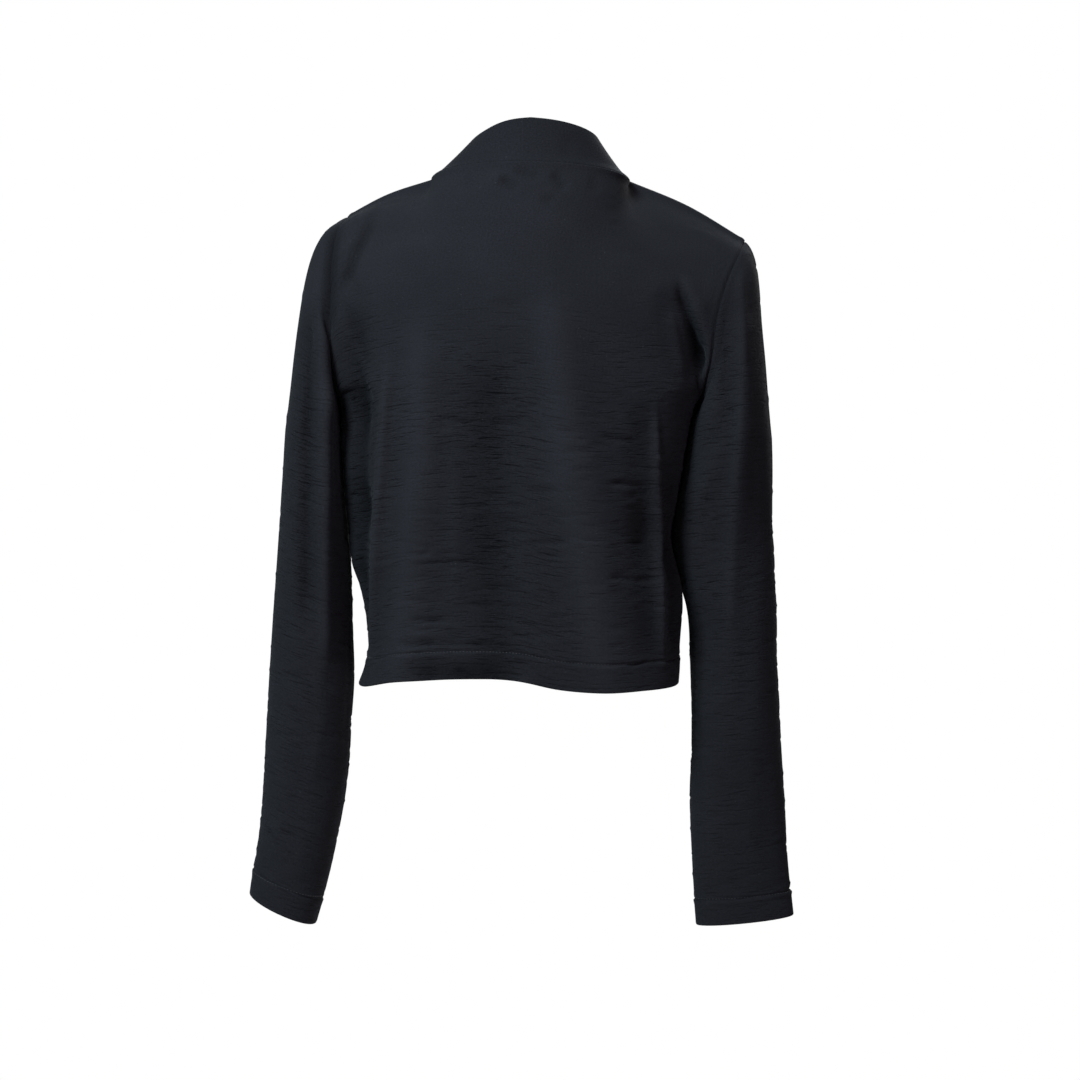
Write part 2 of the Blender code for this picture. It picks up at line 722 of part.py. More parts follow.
def grid_faces(rows, columns, wraps, offset, flip):
    """Triangles of a grid of points, each square cut along the same diagonal."""
    across = columns if wraps else columns - 1
    faces = []
    for row in range(rows - 1):
        for column in range(across):
            beside = (column + 1) % columns
            a = offset + row * columns + column
            b = offset + row * columns + beside
            c = offset + (row + 1) * columns + beside
            d = offset + (row + 1) * columns + column
            square = ((a, b, c), (a, c, d))
            faces += [face[::-1] for face in square] if flip else list(square)
    return faces


def rim_loop(rows, columns, wraps):
    """Indices of the points round a grid's edge, as one loop, or two for a tube."""
    first = list(range(columns))
    last = [(rows - 1) * columns + column for column in range(columns)]
    if wraps:
        return [first, last[::-1]]
    right = [row * columns + columns - 1 for row in range(1, rows - 1)]
    left = [row * columns for row in range(rows - 2, 0, -1)]
    return [first + right + last[::-1] + left]


def knit_material(name):
    """Matt black knitted cloth."""
    colour, roughness, metallic = BLACK_KNIT
    material = bpy.data.materials.new(name)
    material.use_nodes = True
    shader = material.node_tree.nodes["Principled BSDF"]
    shader.inputs["Base Color"].default_value = colour
    shader.inputs["Roughness"].default_value = roughness
    shader.inputs["Metallic"].default_value = metallic
    return material


def wall_object(name, piece):
    """A closed wall: the outer points, the same points moved inwards, and rims between them."""
    grid = piece["grid"]
    rows, columns = grid.shape[:2]
    inner = grid - piece["facing"] * piece["walls"]
    points = np.concatenate((grid.reshape(-1, 3), inner.reshape(-1, 3)))
    count = rows * columns
    faces = grid_faces(rows, columns, piece["wraps"], 0, False)
    faces += grid_faces(rows, columns, piece["wraps"], count, True)
    for loop in rim_loop(rows, columns, piece["wraps"]):
        for here, there in zip(loop, loop[1:] + loop[:1]):
            faces.append((here, here + count, there + count))
            faces.append((here, there + count, there))
    mesh = bpy.data.meshes.new(name)
    mesh.from_pydata(points.tolist(), [], faces)
    shape = bmesh.new()
    shape.from_mesh(mesh)
    bmesh.ops.recalc_face_normals(shape, faces=shape.faces)
    shape.to_mesh(mesh)
    shape.free()
    mesh.shade_smooth()
    mesh.materials.append(knit_material("knit_" + name))
    bpy.context.scene.collection.objects.link(bpy.data.objects.new(name, mesh))


def garment_pieces():
    """Every piece as its outer grid, with how it turns, its walls and its sewn edges."""
    back = back_grid()
    fronts = {side: front_grid(side) for side in ("left", "right")}
    under = len(row_rises()) - 1
    armholes = {
        "left": np.concatenate((back[under:, 0], fronts["left"][-2:under:-1, 0])),
        "right": np.concatenate((back[under:, -1], fronts["right"][-2:under:-1, 0])),
    }
    body_walls = panel_walls(back.shape[0])[:, None, None]
    pieces = {
        "back": {
            "grid": back,
            "wraps": False,
            "sign": -1.0,
            "walls": body_walls,
            "seams": ("last_row", "first_column", "last_column"),
        },
        "band": {
            "grid": band_grid(fronts["left"], fronts["right"], back),
            "wraps": False,
            "sign": 1.0,
            "walls": BAND_WALL,
            "seams": ("first_column",),
        },
    }
    for side in ("left", "right"):
        pieces["front_" + side] = {
            "grid": fronts[side],
            "wraps": False,
            "sign": SIGN[side],
            "walls": body_walls,
            "seams": ("last_row", "first_column", "last_column"),
        }
        sleeve = sleeve_grid(side, armholes[side])
        pieces["sleeve_" + side] = {
            "grid": sleeve,
            "wraps": True,
            "sign": -SIGN[side],
            "walls": sleeve_walls(sleeve.shape[0])[:, None, None],
            "seams": ("first_row",),
        }
    return pieces


def face_pieces(pieces):
    """Works out which way every point of every piece faces."""
    for piece in pieces.values():
        piece["facing"] = facing(piece["grid"], piece["wraps"], piece["sign"])
    share_facings(pieces)


def build():
    """Clears the scene and makes the garment."""
    for thing in list(bpy.data.objects):
        bpy.data.objects.remove(thing, do_unlink=True)
    pieces = garment_pieces()
    face_pieces(pieces)
    raise_folds(pieces)
    face_pieces(pieces)
    for name, piece in pieces.items():
        open_seams(piece)
        wall_object(name, piece)


build()
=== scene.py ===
"""Looks of a cropped, open-front cardigan in fine black merino, filled out as worn and hollow.

Metres, +Z up, in the frame's own axes: X points to the wearer's left and Y to the wearer's back.
Each piece is a closed shell of thin cloth on the form of its solid, with its folds, creases,
seams, turned edges and stitches. Rows of a body panel run from the hem to the shoulder and
columns run round the body. Sleeves run from the armhole to the cuff.
"""

from collections import namedtuple
import math

import bpy
import numpy as np
from mathutils import Matrix, Vector


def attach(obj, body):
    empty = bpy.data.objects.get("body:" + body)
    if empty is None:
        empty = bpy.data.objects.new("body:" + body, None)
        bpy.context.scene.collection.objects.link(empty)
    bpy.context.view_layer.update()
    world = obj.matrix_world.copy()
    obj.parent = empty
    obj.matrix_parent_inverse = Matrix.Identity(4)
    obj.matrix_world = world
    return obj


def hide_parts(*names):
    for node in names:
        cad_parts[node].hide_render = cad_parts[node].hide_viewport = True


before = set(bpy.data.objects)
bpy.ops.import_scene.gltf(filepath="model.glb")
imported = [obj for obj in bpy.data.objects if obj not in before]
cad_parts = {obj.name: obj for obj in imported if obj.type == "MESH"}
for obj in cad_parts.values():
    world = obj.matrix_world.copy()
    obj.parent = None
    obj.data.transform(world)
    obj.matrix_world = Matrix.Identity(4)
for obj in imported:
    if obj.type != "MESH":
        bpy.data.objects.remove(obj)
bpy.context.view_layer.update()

# Cloth: one layer, two layers, what a seam adds inside and how wide, and the turned hems
CLOTH = 0.0010
FOLDED = 0.0021
SEAM_TURN = 0.0012
SEAM_TURN_WIDTH = 0.0065
HEM_DEPTH = 0.025
CUFF_DEPTH = 0.024

# Body: middle plane, side seams, hem and underarms, and where the sleeves touch it
MIDDLE_X = 0.002
SIDE_SEAM_Y = -0.003
HEM_HEIGHT = -0.462
UNDERARM_HEIGHT = -0.208
SLEEVE_LIES_ON_BODY = -0.345
SLEEVE_HANGS_FREE = -0.420

# How square each rounded turn is, where 2 is round
BACK_SQUARENESS = 3.0
FRONT_SQUARENESS = 2.4
NECK_SQUARENESS = 2.2
SLEEVE_SQUARENESS = 2.1
FLAT_SQUARENESS = 3.4

# How the upper back and fronts change with height, by share of the armhole's length
BLADE_BOW = 2.2
BLADES_FULL = 0.40
YOKE_STARTS = 0.35
FRONTS_TURN = 0.50
NECK_CORNER = 0.6
CORNER_LEAST = 0.001
CORNER_FADE = 0.25

# How finely the pieces are divided. Columns are first laid evenly and then picked at places.
SHOULDER_COLUMNS = 96
NECK_COLUMNS = 128
STEP = 0.0021
ARMHOLE_STEP = 0.0030
CAP_STEP = 0.0032
BAND_STEP = 0.0026
SEAM_STEPS = (0.0, 0.0007, 0.0015, 0.0026, 0.0041, 0.0060)
EDGE_STEPS = (0.0, 0.00012, 0.0004, 0.0009, 0.0017, 0.0030, 0.0048)
STITCH_STEPS = (-0.0030, -0.0018, -0.0009, 0.0, 0.0009, 0.0018, 0.0030)
SHOULDER_LENGTH = 0.120
NECK_LENGTH = 0.180
ARMHOLE_LENGTH = 0.210
CAP_LENGTH = 0.170
BAND_WIDTH = 0.047

# Girth of the body at each height: where the side seams, centre back and front stand
BodyRow = namedtuple("BodyRow", "height left right back front")
BODY = (
    BodyRow(-0.465, 0.1515, -0.1430, 0.0950, -0.1200),
    BodyRow(-0.448, 0.1455, -0.1440, 0.0945, -0.1210),
    BodyRow(-0.430, 0.1425, -0.1440, 0.0940, -0.1220),
    BodyRow(-0.411, 0.1440, -0.1450, 0.0940, -0.1235),
    BodyRow(-0.392, 0.1472, -0.1460, 0.0945, -0.1250),
    BodyRow(-0.374, 0.1518, -0.1448, 0.0950, -0.1260),
    BodyRow(-0.355, 0.1588, -0.1400, 0.0955, -0.1270),
    BodyRow(-0.326, 0.1625, -0.1340, 0.0965, -0.1290),
    BodyRow(-0.300, 0.1660, -0.1378, 0.0970, -0.1310),
    BodyRow(-0.250, 0.1705, -0.1452, 0.0975, -0.1320),
    BodyRow(-0.208, 0.1710, -0.1520, 0.0970, -0.1270),
)

# Hem edge of the back, by share of the way from the left side seam to the right one
HemPoint = namedtuple("HemPoint", "share height")
BACK_HEM = (
    HemPoint(0.00, -0.4650),
    HemPoint(0.13, -0.4665),
    HemPoint(0.22, -0.4610),
    HemPoint(0.38, -0.4555),
    HemPoint(0.50, -0.4565),
    HemPoint(0.58, -0.4628),
    HemPoint(0.67, -0.4655),
    HemPoint(0.78, -0.4635),
    HemPoint(1.00, -0.4590),
)

# Hem edge of each front, from its side seam to the band
FRONT_HEM = {
    "left": (HemPoint(0.0, -0.4650), HemPoint(0.4, -0.4600), HemPoint(1.0, -0.4625)),
    "right": (HemPoint(0.0, -0.4590), HemPoint(0.5, -0.4635), HemPoint(1.0, -0.4615)),
}

# Armhole seams, from the underarm up to the tip of the shoulder, on the back and on the front
SeamPoint = namedtuple("SeamPoint", "x y z")
BACK_ARMHOLE = {
    "left": (
        SeamPoint(0.171, -0.003, -0.208),
        SeamPoint(0.174, 0.032, -0.199),
        SeamPoint(0.177, 0.056, -0.166),
        SeamPoint(0.179, 0.060, -0.120),
        SeamPoint(0.180, 0.044, -0.077),
        SeamPoint(0.177, 0.019, -0.046),
        SeamPoint(0.170, -0.005, -0.035),
    ),
    "right": (
        SeamPoint(-0.152, -0.003, -0.208),
        SeamPoint(-0.157, 0.033, -0.196),
        SeamPoint(-0.164, 0.056, -0.165),
        SeamPoint(-0.169, 0.059, -0.127),
        SeamPoint(-0.179, 0.043, -0.093),
        SeamPoint(-0.192, 0.018, -0.064),
        SeamPoint(-0.198, -0.005, -0.051),
    ),
}
FRONT_ARMHOLE = {
    "left": (
        SeamPoint(0.171, -0.003, -0.208),
        SeamPoint(0.168, -0.038, -0.197),
        SeamPoint(0.167, -0.061, -0.161),
        SeamPoint(0.169, -0.064, -0.117),
        SeamPoint(0.172, -0.050, -0.077),
        SeamPoint(0.173, -0.027, -0.046),
        SeamPoint(0.170, -0.005, -0.035),
    ),
    "right": (
        SeamPoint(-0.152, -0.003, -0.208),
        SeamPoint(-0.153, -0.037, -0.196),
        SeamPoint(-0.159, -0.060, -0.165),
        SeamPoint(-0.167, -0.063, -0.127),
        SeamPoint(-0.179, -0.049, -0.093),
        SeamPoint(-0.191, -0.028, -0.064),
        SeamPoint(-0.198, -0.005, -0.051),
    ),
}

# Shoulder seams, from the tip of the shoulder to the neck
SHOULDER = {
    "left": (
        SeamPoint(0.170, -0.005, -0.035),
        SeamPoint(0.134, -0.004, -0.0155),
        SeamPoint(0.092, -0.002, -0.001),
    ),
    "right": (
        SeamPoint(-0.198, -0.005, -0.051),
        SeamPoint(-0.143, -0.004, -0.0200),
        SeamPoint(-0.089, -0.002, 0.001),
    ),
}

# Centre back, from the underarm level over the shoulder blades to the neck seam
CENTRE_BACK = (
    SeamPoint(MIDDLE_X, 0.097, -0.208),
    SeamPoint(MIDDLE_X, 0.099, -0.160),
    SeamPoint(MIDDLE_X, 0.097, -0.110),
    SeamPoint(MIDDLE_X, 0.088, -0.055),
    SeamPoint(MIDDLE_X, 0.068, 0.004),
)

# Edge of each front where the band is sewn on, from the hem to the neck. x is for the left.
FRONT_EDGE = (
    SeamPoint(0.086, -0.112, -0.462),
    SeamPoint(0.082, -0.116, -0.400),
    SeamPoint(0.077, -0.121, -0.330),
    SeamPoint(0.074, -0.126, -0.260),
    SeamPoint(0.074, -0.122, -0.208),
    SeamPoint(0.075, -0.110, -0.155),
    SeamPoint(0.079, -0.088, -0.100),
    SeamPoint(0.085, -0.056, -0.050),
    SeamPoint(0.090, -0.028, -0.019),
    SeamPoint(0.092, -0.002, -0.001),
)

# Step from the band's seam to its free edge, down the fronts by the seam's height
BandStep = namedtuple("BandStep", "at inward back up")
FRONT_BAND = (
    BandStep(-0.462, 0.047, -0.007, 0.000),
    BandStep(-0.300, 0.047, -0.007, 0.000),
    BandStep(-0.208, 0.047, -0.007, 0.003),
    BandStep(-0.150, 0.046, -0.010, 0.008),
    BandStep(-0.100, 0.043, -0.014, 0.014),
    BandStep(-0.050, 0.038, -0.016, 0.019),
    BandStep(-0.019, 0.034, -0.012, 0.023),
    BandStep(-0.001, 0.031, -0.008, 0.027),
)

# The same step round the back of the neck, by share of the way from the shoulder to the centre
NECK_BAND = {
    "left": (
        BandStep(0.00, 0.031, -0.008, 0.027),
        BandStep(0.25, 0.028, -0.012, 0.031),
        BandStep(0.50, 0.022, -0.013, 0.036),
        BandStep(0.75, 0.012, -0.013, 0.041),
        BandStep(1.00, 0.000, -0.013, 0.043),
    ),
    "right": (
        BandStep(0.00, 0.030, -0.006, 0.026),
        BandStep(0.25, 0.023, -0.009, 0.034),
        BandStep(0.50, 0.015, -0.012, 0.0385),
        BandStep(0.75, 0.008, -0.013, 0.0415),
        BandStep(1.00, 0.000, -0.013, 0.043),
    ),
}

# Sleeves below the underarm: inner and outer count from the middle plane, tilt lifts the outer side
SleeveRow = namedtuple("SleeveRow", "height inner outer front back tilt")
SLEEVE = {
    "left": (
        SleeveRow(-0.235, 0.1735, 0.2218, -0.062, 0.066, 0.000),
        SleeveRow(-0.300, 0.1685, 0.2255, -0.060, 0.062, 0.000),
        SleeveRow(-0.355, 0.1628, 0.2285, -0.056, 0.057, 0.000),
        SleeveRow(-0.392, 0.1598, 0.2307, -0.053, 0.053, 0.000),
        SleeveRow(-0.430, 0.1578, 0.2326, -0.050, 0.050, 0.000),
        SleeveRow(-0.466, 0.1568, 0.2340, -0.048, 0.047, 0.000),
        SleeveRow(-0.504, 0.1587, 0.2352, -0.046, 0.044, 0.000),
        SleeveRow(-0.541, 0.1600, 0.2365, -0.044, 0.041, 0.000),
        SleeveRow(-0.578, 0.1638, 0.2380, -0.041, 0.038, 0.002),
        SleeveRow(-0.615, 0.1708, 0.2410, -0.038, 0.036, 0.006),
        SleeveRow(-0.650, 0.1795, 0.2455, -0.035, 0.034, 0.011),
        SleeveRow(-0.6765, 0.1872, 0.2483, -0.033, 0.033, 0.0135),
    ),
    "right": (
        SleeveRow(-0.235, 0.1490, 0.2245, -0.060, 0.062, 0.000),
        SleeveRow(-0.275, 0.1440, 0.2266, -0.054, 0.056, 0.000),
        SleeveRow(-0.310, 0.1380, 0.2280, -0.047, 0.049, 0.000),
        SleeveRow(-0.326, 0.1360, 0.2293, -0.046, 0.047, 0.000),
        SleeveRow(-0.362, 0.1440, 0.2315, -0.047, 0.047, 0.000),
        SleeveRow(-0.400, 0.1520, 0.2337, -0.047, 0.047, 0.000),
        SleeveRow(-0.440, 0.1547, 0.2347, -0.046, 0.046, 0.000),
        SleeveRow(-0.477, 0.1568, 0.2370, -0.044, 0.044, 0.000),
        SleeveRow(-0.515, 0.1578, 0.2393, -0.041, 0.041, 0.000),
        SleeveRow(-0.570, 0.1568, 0.2438, -0.032, 0.034, 0.000),
        SleeveRow(-0.615, 0.1593, 0.2472, -0.026, 0.029, 0.002),
        SleeveRow(-0.650, 0.1620, 0.2508, -0.021, 0.024, 0.004),
        SleeveRow(-0.679, 0.1648, 0.2543, -0.018, 0.021, 0.0055),
    ),
}

# How a sleeve leaves the armhole: direction and reach at the underarm, the sides and the tip
CapLeave = namedtuple("CapLeave", "around outward down reach")
CAP = {
    "left": (
        CapLeave(0.0, 0.50, 0.85, 0.008),
        CapLeave(0.5, 0.85, 0.50, 0.018),
        CapLeave(1.0, 0.94, 0.33, 0.043),
    ),
    "right": (
        CapLeave(0.0, 0.50, 0.85, 0.008),
        CapLeave(0.5, 0.85, 0.50, 0.017),
        CapLeave(1.0, 0.84, 0.54, 0.025),
    ),
}

# Height and lean of the last stretch of a sleeve's cap, as shares of how far it falls
CAP_SETTLE = 0.55
CAP_FLARE = 0.075

# Largest folds of the back, each a soft ridge (or a trough, below zero) along a straight line
Fold = namedtuple("Fold", "start end width height")
BACK_FOLDS = {
    "centre trough": Fold((0.040, 0.097, -0.190), (0.040, 0.093, -0.440), 0.040, -0.0045),
    "right of centre": Fold((-0.030, 0.098, -0.150), (-0.080, 0.092, -0.400), 0.022, 0.0035),
    "left turn": Fold((0.122, 0.088, -0.170), (0.134, 0.070, -0.420), 0.014, 0.0030),
    "right turn": Fold((-0.108, 0.085, -0.225), (-0.124, 0.070, -0.440), 0.013, 0.0030),
    "into right armhole": Fold((-0.122, 0.085, -0.100), (-0.158, 0.052, -0.200), 0.014, -0.0090),
}
FOLD_END = 0.28  # share of a fold over which it fades at each end

# Pressed crease down the rear of each sleeve, by height, and the height over which it begins
CREASE_BEGINS = 0.030
SleeveCrease = namedtuple("SleeveCrease", "height out width rise")
SLEEVE_CREASE = {
    "left": (
        SleeveCrease(-0.120, 0.188, 0.010, 0.002),
        SleeveCrease(-0.210, 0.184, 0.011, 0.004),
        SleeveCrease(-0.330, 0.188, 0.014, 0.003),
        SleeveCrease(-0.420, 0.192, 0.016, 0.000),
    ),
    "right": (
        SleeveCrease(-0.110, 0.198, 0.010, 0.002),
        SleeveCrease(-0.200, 0.196, 0.011, 0.005),
        SleeveCrease(-0.350, 0.188, 0.014, 0.004),
        SleeveCrease(-0.480, 0.186, 0.016, 0.000),
    ),
}

# The axis that each view looks along, and on which side of the garment it stands
SEEN = {"back": (1, 1.0), "front": (1, -1.0), "left": (0, 1.0), "right": (0, -1.0)}

# Creases, and troughs below zero, as seen: X and Z from the back or front, Y and Z from a side
Crease = namedtuple("Crease", "start end width height")
CREASES = {
    "back": {
        "back": (
            # Long soft folds that hang from the shoulder blades
            Crease((0.096, -0.120), (0.089, -0.330), 0.0160, 0.0052),
            Crease((0.092, -0.250), (0.106, -0.500), 0.0170, 0.0060),
            Crease((-0.016, -0.090), (-0.046, -0.330), 0.0200, 0.0058),
            Crease((-0.038, -0.230), (-0.086, -0.500), 0.0210, 0.0064),
            Crease((0.030, -0.150), (0.030, -0.380), 0.0200, -0.0050),
            Crease((0.030, -0.300), (0.014, -0.500), 0.0190, -0.0050),
            Crease((0.062, -0.230), (0.058, -0.430), 0.0060, 0.0009),
            Crease((-0.102, -0.200), (-0.110, -0.370), 0.0140, -0.0040),
            Crease((-0.107, -0.270), (-0.117, -0.460), 0.0145, -0.0048),
            # Crisp turns towards the sides, with the cloth pushed in beyond them
            Crease((0.123, -0.160), (0.1305, -0.330), 0.0046, 0.0038),
            Crease((0.1295, -0.270), (0.137, -0.455), 0.0042, 0.0044),
            Crease((0.154, -0.110), (0.153, -0.260), 0.0120, -0.0060),
            Crease((0.151, -0.180), (0.150, -0.340), 0.0110, -0.0085),
            Crease((0.150, -0.270), (0.149, -0.440), 0.0095, -0.0088),
            Crease((-0.1125, -0.200), (-0.1215, -0.360), 0.0034, 0.0046),
            Crease((-0.1178, -0.275), (-0.1270, -0.455), 0.0034, 0.0050),
            Crease((-0.129, -0.250), (-0.134, -0.370), 0.0078, -0.0042),
            Crease((-0.134, -0.310), (-0.139, -0.445), 0.0070, -0.0060),
            # The hem, curled under on one side of the middle and flat on the other
            Crease((0.118, -0.452), (-0.002, -0.456), 0.0120, -0.0062),
            Crease((0.060, -0.446), (0.040, -0.456), 0.0050, -0.0018),
            Crease((0.002, -0.450), (-0.012, -0.474), 0.0050, 0.0012),
            Crease((0.092, -0.449), (0.074, -0.456), 0.0036, -0.0012),
            # Drag lines into the armholes
            Crease((-0.131, -0.096), (-0.160, -0.190), 0.0044, -0.0088),
            Crease((-0.142, -0.122), (-0.172, -0.236), 0.0060, -0.0090),
            Crease((-0.120, -0.108), (-0.142, -0.200), 0.0062, 0.0032),
            Crease((-0.134, -0.092), (-0.160, -0.128), 0.0050, 0.0020),
            Crease((0.139, -0.026), (0.172, -0.124), 0.0056, -0.0050),
            Crease((0.172, -0.112), (0.137, -0.193), 0.0045, -0.0017),
            Crease((0.166, -0.142), (0.130, -0.216), 0.0050, 0.0015),
            Crease((0.160, -0.170), (0.128, -0.240), 0.0040, -0.0014),
            Crease((0.170, -0.078), (0.146, -0.128), 0.0045, -0.0014),
            # Puckers along the neck seam
            Crease((0.036, -0.006), (0.026, -0.016), 0.0040, 0.0018),
            Crease((0.028, -0.010), (0.012, -0.024), 0.0042, -0.0030),
            Crease((0.018, -0.004), (-0.010, -0.012), 0.0034, -0.0024),
            Crease((-0.018, -0.004), (-0.032, -0.022), 0.0044, -0.0030),
            Crease((-0.008, -0.033), (-0.024, -0.030), 0.0034, -0.0014),
            Crease((0.060, -0.006), (0.052, -0.024), 0.0040, -0.0012),
            Crease((-0.052, -0.006), (-0.060, -0.022), 0.0040, -0.0012),
            # Long puckers across
            Crease((0.099, -0.354), (0.020, -0.3525), 0.0023, -0.0015),
            Crease((0.105, -0.351), (0.060, -0.3505), 0.0023, 0.0009),
            Crease((-0.072, -0.3625), (-0.100, -0.3655), 0.0023, -0.0019),
            Crease((-0.094, -0.366), (-0.123, -0.3640), 0.0023, -0.0019),
            Crease((0.034, -0.2315), (0.003, -0.2295), 0.0023, -0.0019),
            Crease((-0.070, -0.2800), (-0.116, -0.2840), 0.0023, -0.0017),
            Crease((-0.072, -0.2850), (-0.112, -0.2890), 0.0023, 0.0009),
            Crease((0.109, -0.4280), (0.070, -0.4235), 0.0023, -0.0021),
            Crease((0.078, -0.4240), (0.020, -0.4255), 0.0023, -0.0021),
            Crease((0.101, -0.4050), (0.067, -0.4045), 0.0023, -0.0019),
            Crease((0.092, -0.4110), (0.056, -0.4085), 0.0023, 0.0011),
            Crease((0.100, -0.4180), (0.064, -0.4160), 0.0023, 0.0013),
            Crease((-0.090, -0.2880), (-0.116, -0.2890), 0.0023, -0.0017),
            Crease((0.039, -0.3740), (0.002, -0.3745), 0.0023, -0.0015),
            Crease((0.008, -0.3360), (-0.046, -0.3330), 0.0023, -0.0015),
            Crease((0.082, -0.2290), (0.046, -0.2310), 0.0023, -0.0013),
            Crease((0.055, -0.3900), (0.022, -0.3900), 0.0023, -0.0015),
            Crease((0.104, -0.3870), (0.080, -0.3865), 0.0023, -0.0013),
            Crease((-0.030, -0.2550), (-0.064, -0.2530), 0.0023, -0.0013),
            Crease((-0.060, -0.2400), (-0.104, -0.2450), 0.0023, -0.0015),
            Crease((0.060, -0.3040), (0.030, -0.3040), 0.0023, -0.0013),
            Crease((0.000, -0.2890), (-0.028, -0.2900), 0.0023, -0.0011),
        ),
    },
    "front_left": {
        "front": (
            # Drag lines from the armhole
            Crease((0.160, -0.110), (0.118, -0.215), 0.0080, -0.0016),
            Crease((0.150, -0.098), (0.108, -0.190), 0.0070, 0.0012),
            # Soft folds down the front
            Crease((0.098, -0.150), (0.090, -0.330), 0.0090, 0.0012),
            Crease((0.126, -0.230), (0.118, -0.430), 0.0080, 0.0013),
            Crease((0.108, -0.260), (0.103, -0.440), 0.0090, -0.0011),
            Crease((0.142, -0.240), (0.146, -0.430), 0.0060, -0.0012),
            # Puckers across
            Crease((0.124, -0.330), (0.088, -0.3280), 0.0020, -0.0008),
            Crease((0.116, -0.396), (0.082, -0.3990), 0.0020, -0.0009),
            Crease((0.130, -0.278), (0.104, -0.2760), 0.0020, -0.0008),
        ),
        "left": (
            Crease((-0.030, -0.225), (-0.052, -0.430), 0.0080, 0.0012),
            Crease((-0.016, -0.260), (-0.024, -0.440), 0.0080, -0.0010),
        ),
    },
    "front_right": {
        "front": (
            # Drag lines from the armhole
            Crease((-0.154, -0.120), (-0.112, -0.220), 0.0075, -0.0018),
            Crease((-0.146, -0.106), (-0.104, -0.196), 0.0070, 0.0012),
            # Soft folds down the front
            Crease((-0.094, -0.160), (-0.088, -0.345), 0.0090, 0.0012),
            Crease((-0.116, -0.240), (-0.108, -0.435), 0.0080, 0.0012),
            Crease((-0.102, -0.270), (-0.098, -0.440), 0.0090, -0.0010),
            Crease((-0.128, -0.280), (-0.134, -0.430), 0.0060, -0.0012),
            # Puckers across
            Crease((-0.120, -0.352), (-0.086, -0.3490), 0.0020, -0.0009),
            Crease((-0.112, -0.300), (-0.084, -0.3020), 0.0020, -0.0008),
            Crease((-0.118, -0.412), (-0.090, -0.4100), 0.0020, -0.0009),
        ),
        "right": (
            Crease((-0.032, -0.240), (-0.050, -0.435), 0.0080, 0.0012),
            Crease((-0.015, -0.270), (-0.022, -0.440), 0.0080, -0.0010),
        ),
    },
    "sleeve_left": {
        "back": (
            # The pressed crease in three runs, with a trough beside it
            Crease((0.1845, -0.125), (0.1795, -0.245), 0.0056, 0.0044),
            Crease((0.1805, -0.180), (0.1785, -0.340), 0.0056, 0.0054),
            Crease((0.1795, -0.290), (0.1780, -0.470), 0.0062, 0.0044),
            Crease((0.1995, -0.110), (0.1955, -0.290), 0.0080, -0.0066),
            Crease((0.1960, -0.240), (0.1955, -0.430), 0.0080, -0.0056),
            # Soft folds down the sleeve
            Crease((0.1960, -0.300), (0.1860, -0.315), 0.0030, 0.0008),
            Crease((0.2050, -0.330), (0.1960, -0.470), 0.0080, 0.0008),
            Crease((0.1860, -0.380), (0.1820, -0.520), 0.0080, 0.0009),
            Crease((0.1760, -0.470), (0.1900, -0.560), 0.0060, 0.0009),
            Crease((0.1980, -0.500), (0.2080, -0.640), 0.0080, -0.0008),
            Crease((0.2160, -0.430), (0.2200, -0.620), 0.0080, 0.0007),
            # Puckers across
            Crease((0.2280, -0.5120), (0.1900, -0.5130), 0.0020, -0.0008),
            Crease((0.2200, -0.4560), (0.1850, -0.4600), 0.0018, -0.0006),
            Crease((0.1880, -0.4420), (0.1640, -0.4460), 0.0018, -0.0007),
            Crease((0.2060, -0.4010), (0.1760, -0.4040), 0.0018, -0.0006),
            Crease((0.2240, -0.6000), (0.1960, -0.6050), 0.0020, -0.0007),
            Crease((0.1860, -0.5500), (0.1690, -0.5580), 0.0020, -0.0007),
        ),
        "front": (
            Crease((0.1900, -0.110), (0.1960, -0.240), 0.0080, 0.0012),
            # Bend of the elbow
            Crease((0.2060, -0.280), (0.1700, -0.355), 0.0070, -0.0012),
            Crease((0.2120, -0.330), (0.1740, -0.392), 0.0060, -0.0012),
            Crease((0.2160, -0.352), (0.1760, -0.372), 0.0060, 0.0011),
            # Soft folds down the forearm
            Crease((0.2000, -0.410), (0.2060, -0.600), 0.0080, 0.0010),
            Crease((0.1860, -0.480), (0.2000, -0.640), 0.0070, -0.0008),
        ),
        "left": (
            Crease((0.020, -0.120), (0.006, -0.300), 0.0080, 0.0010),
            Crease((-0.022, -0.280), (0.012, -0.350), 0.0070, -0.0010),
            Crease((-0.026, -0.330), (0.010, -0.392), 0.0065, -0.0010),
            Crease((0.000, -0.420), (0.002, -0.640), 0.0090, 0.0008),
        ),
        "right": (
            Crease((0.018, -0.390), (0.014, -0.560), 0.0070, -0.0010),
            Crease((-0.018, -0.400), (-0.010, -0.600), 0.0080, 0.0009),
        ),
    },
    "sleeve_right": {
        "back": (
            # The pressed crease in three runs, with a trough on each side
            Crease((-0.1900, -0.062), (-0.1920, -0.200), 0.0050, 0.0026),
            Crease((-0.1920, -0.165), (-0.1860, -0.310), 0.0052, 0.0026),
            Crease((-0.1865, -0.270), (-0.1860, -0.430), 0.0060, 0.0020),
            Crease((-0.2040, -0.100), (-0.2030, -0.330), 0.0070, -0.0016),
            Crease((-0.1770, -0.100), (-0.1750, -0.220), 0.0070, -0.0024),
            # Drag lines towards the underarm
            Crease((-0.1850, -0.196), (-0.1640, -0.250), 0.0070, -0.0016),
            Crease((-0.1840, -0.160), (-0.1660, -0.170), 0.0026, -0.0010),
            Crease((-0.1780, -0.235), (-0.1520, -0.300), 0.0080, 0.0012),
            Crease((-0.1740, -0.280), (-0.1480, -0.330), 0.0070, -0.0008),
            # Creases below the elbow
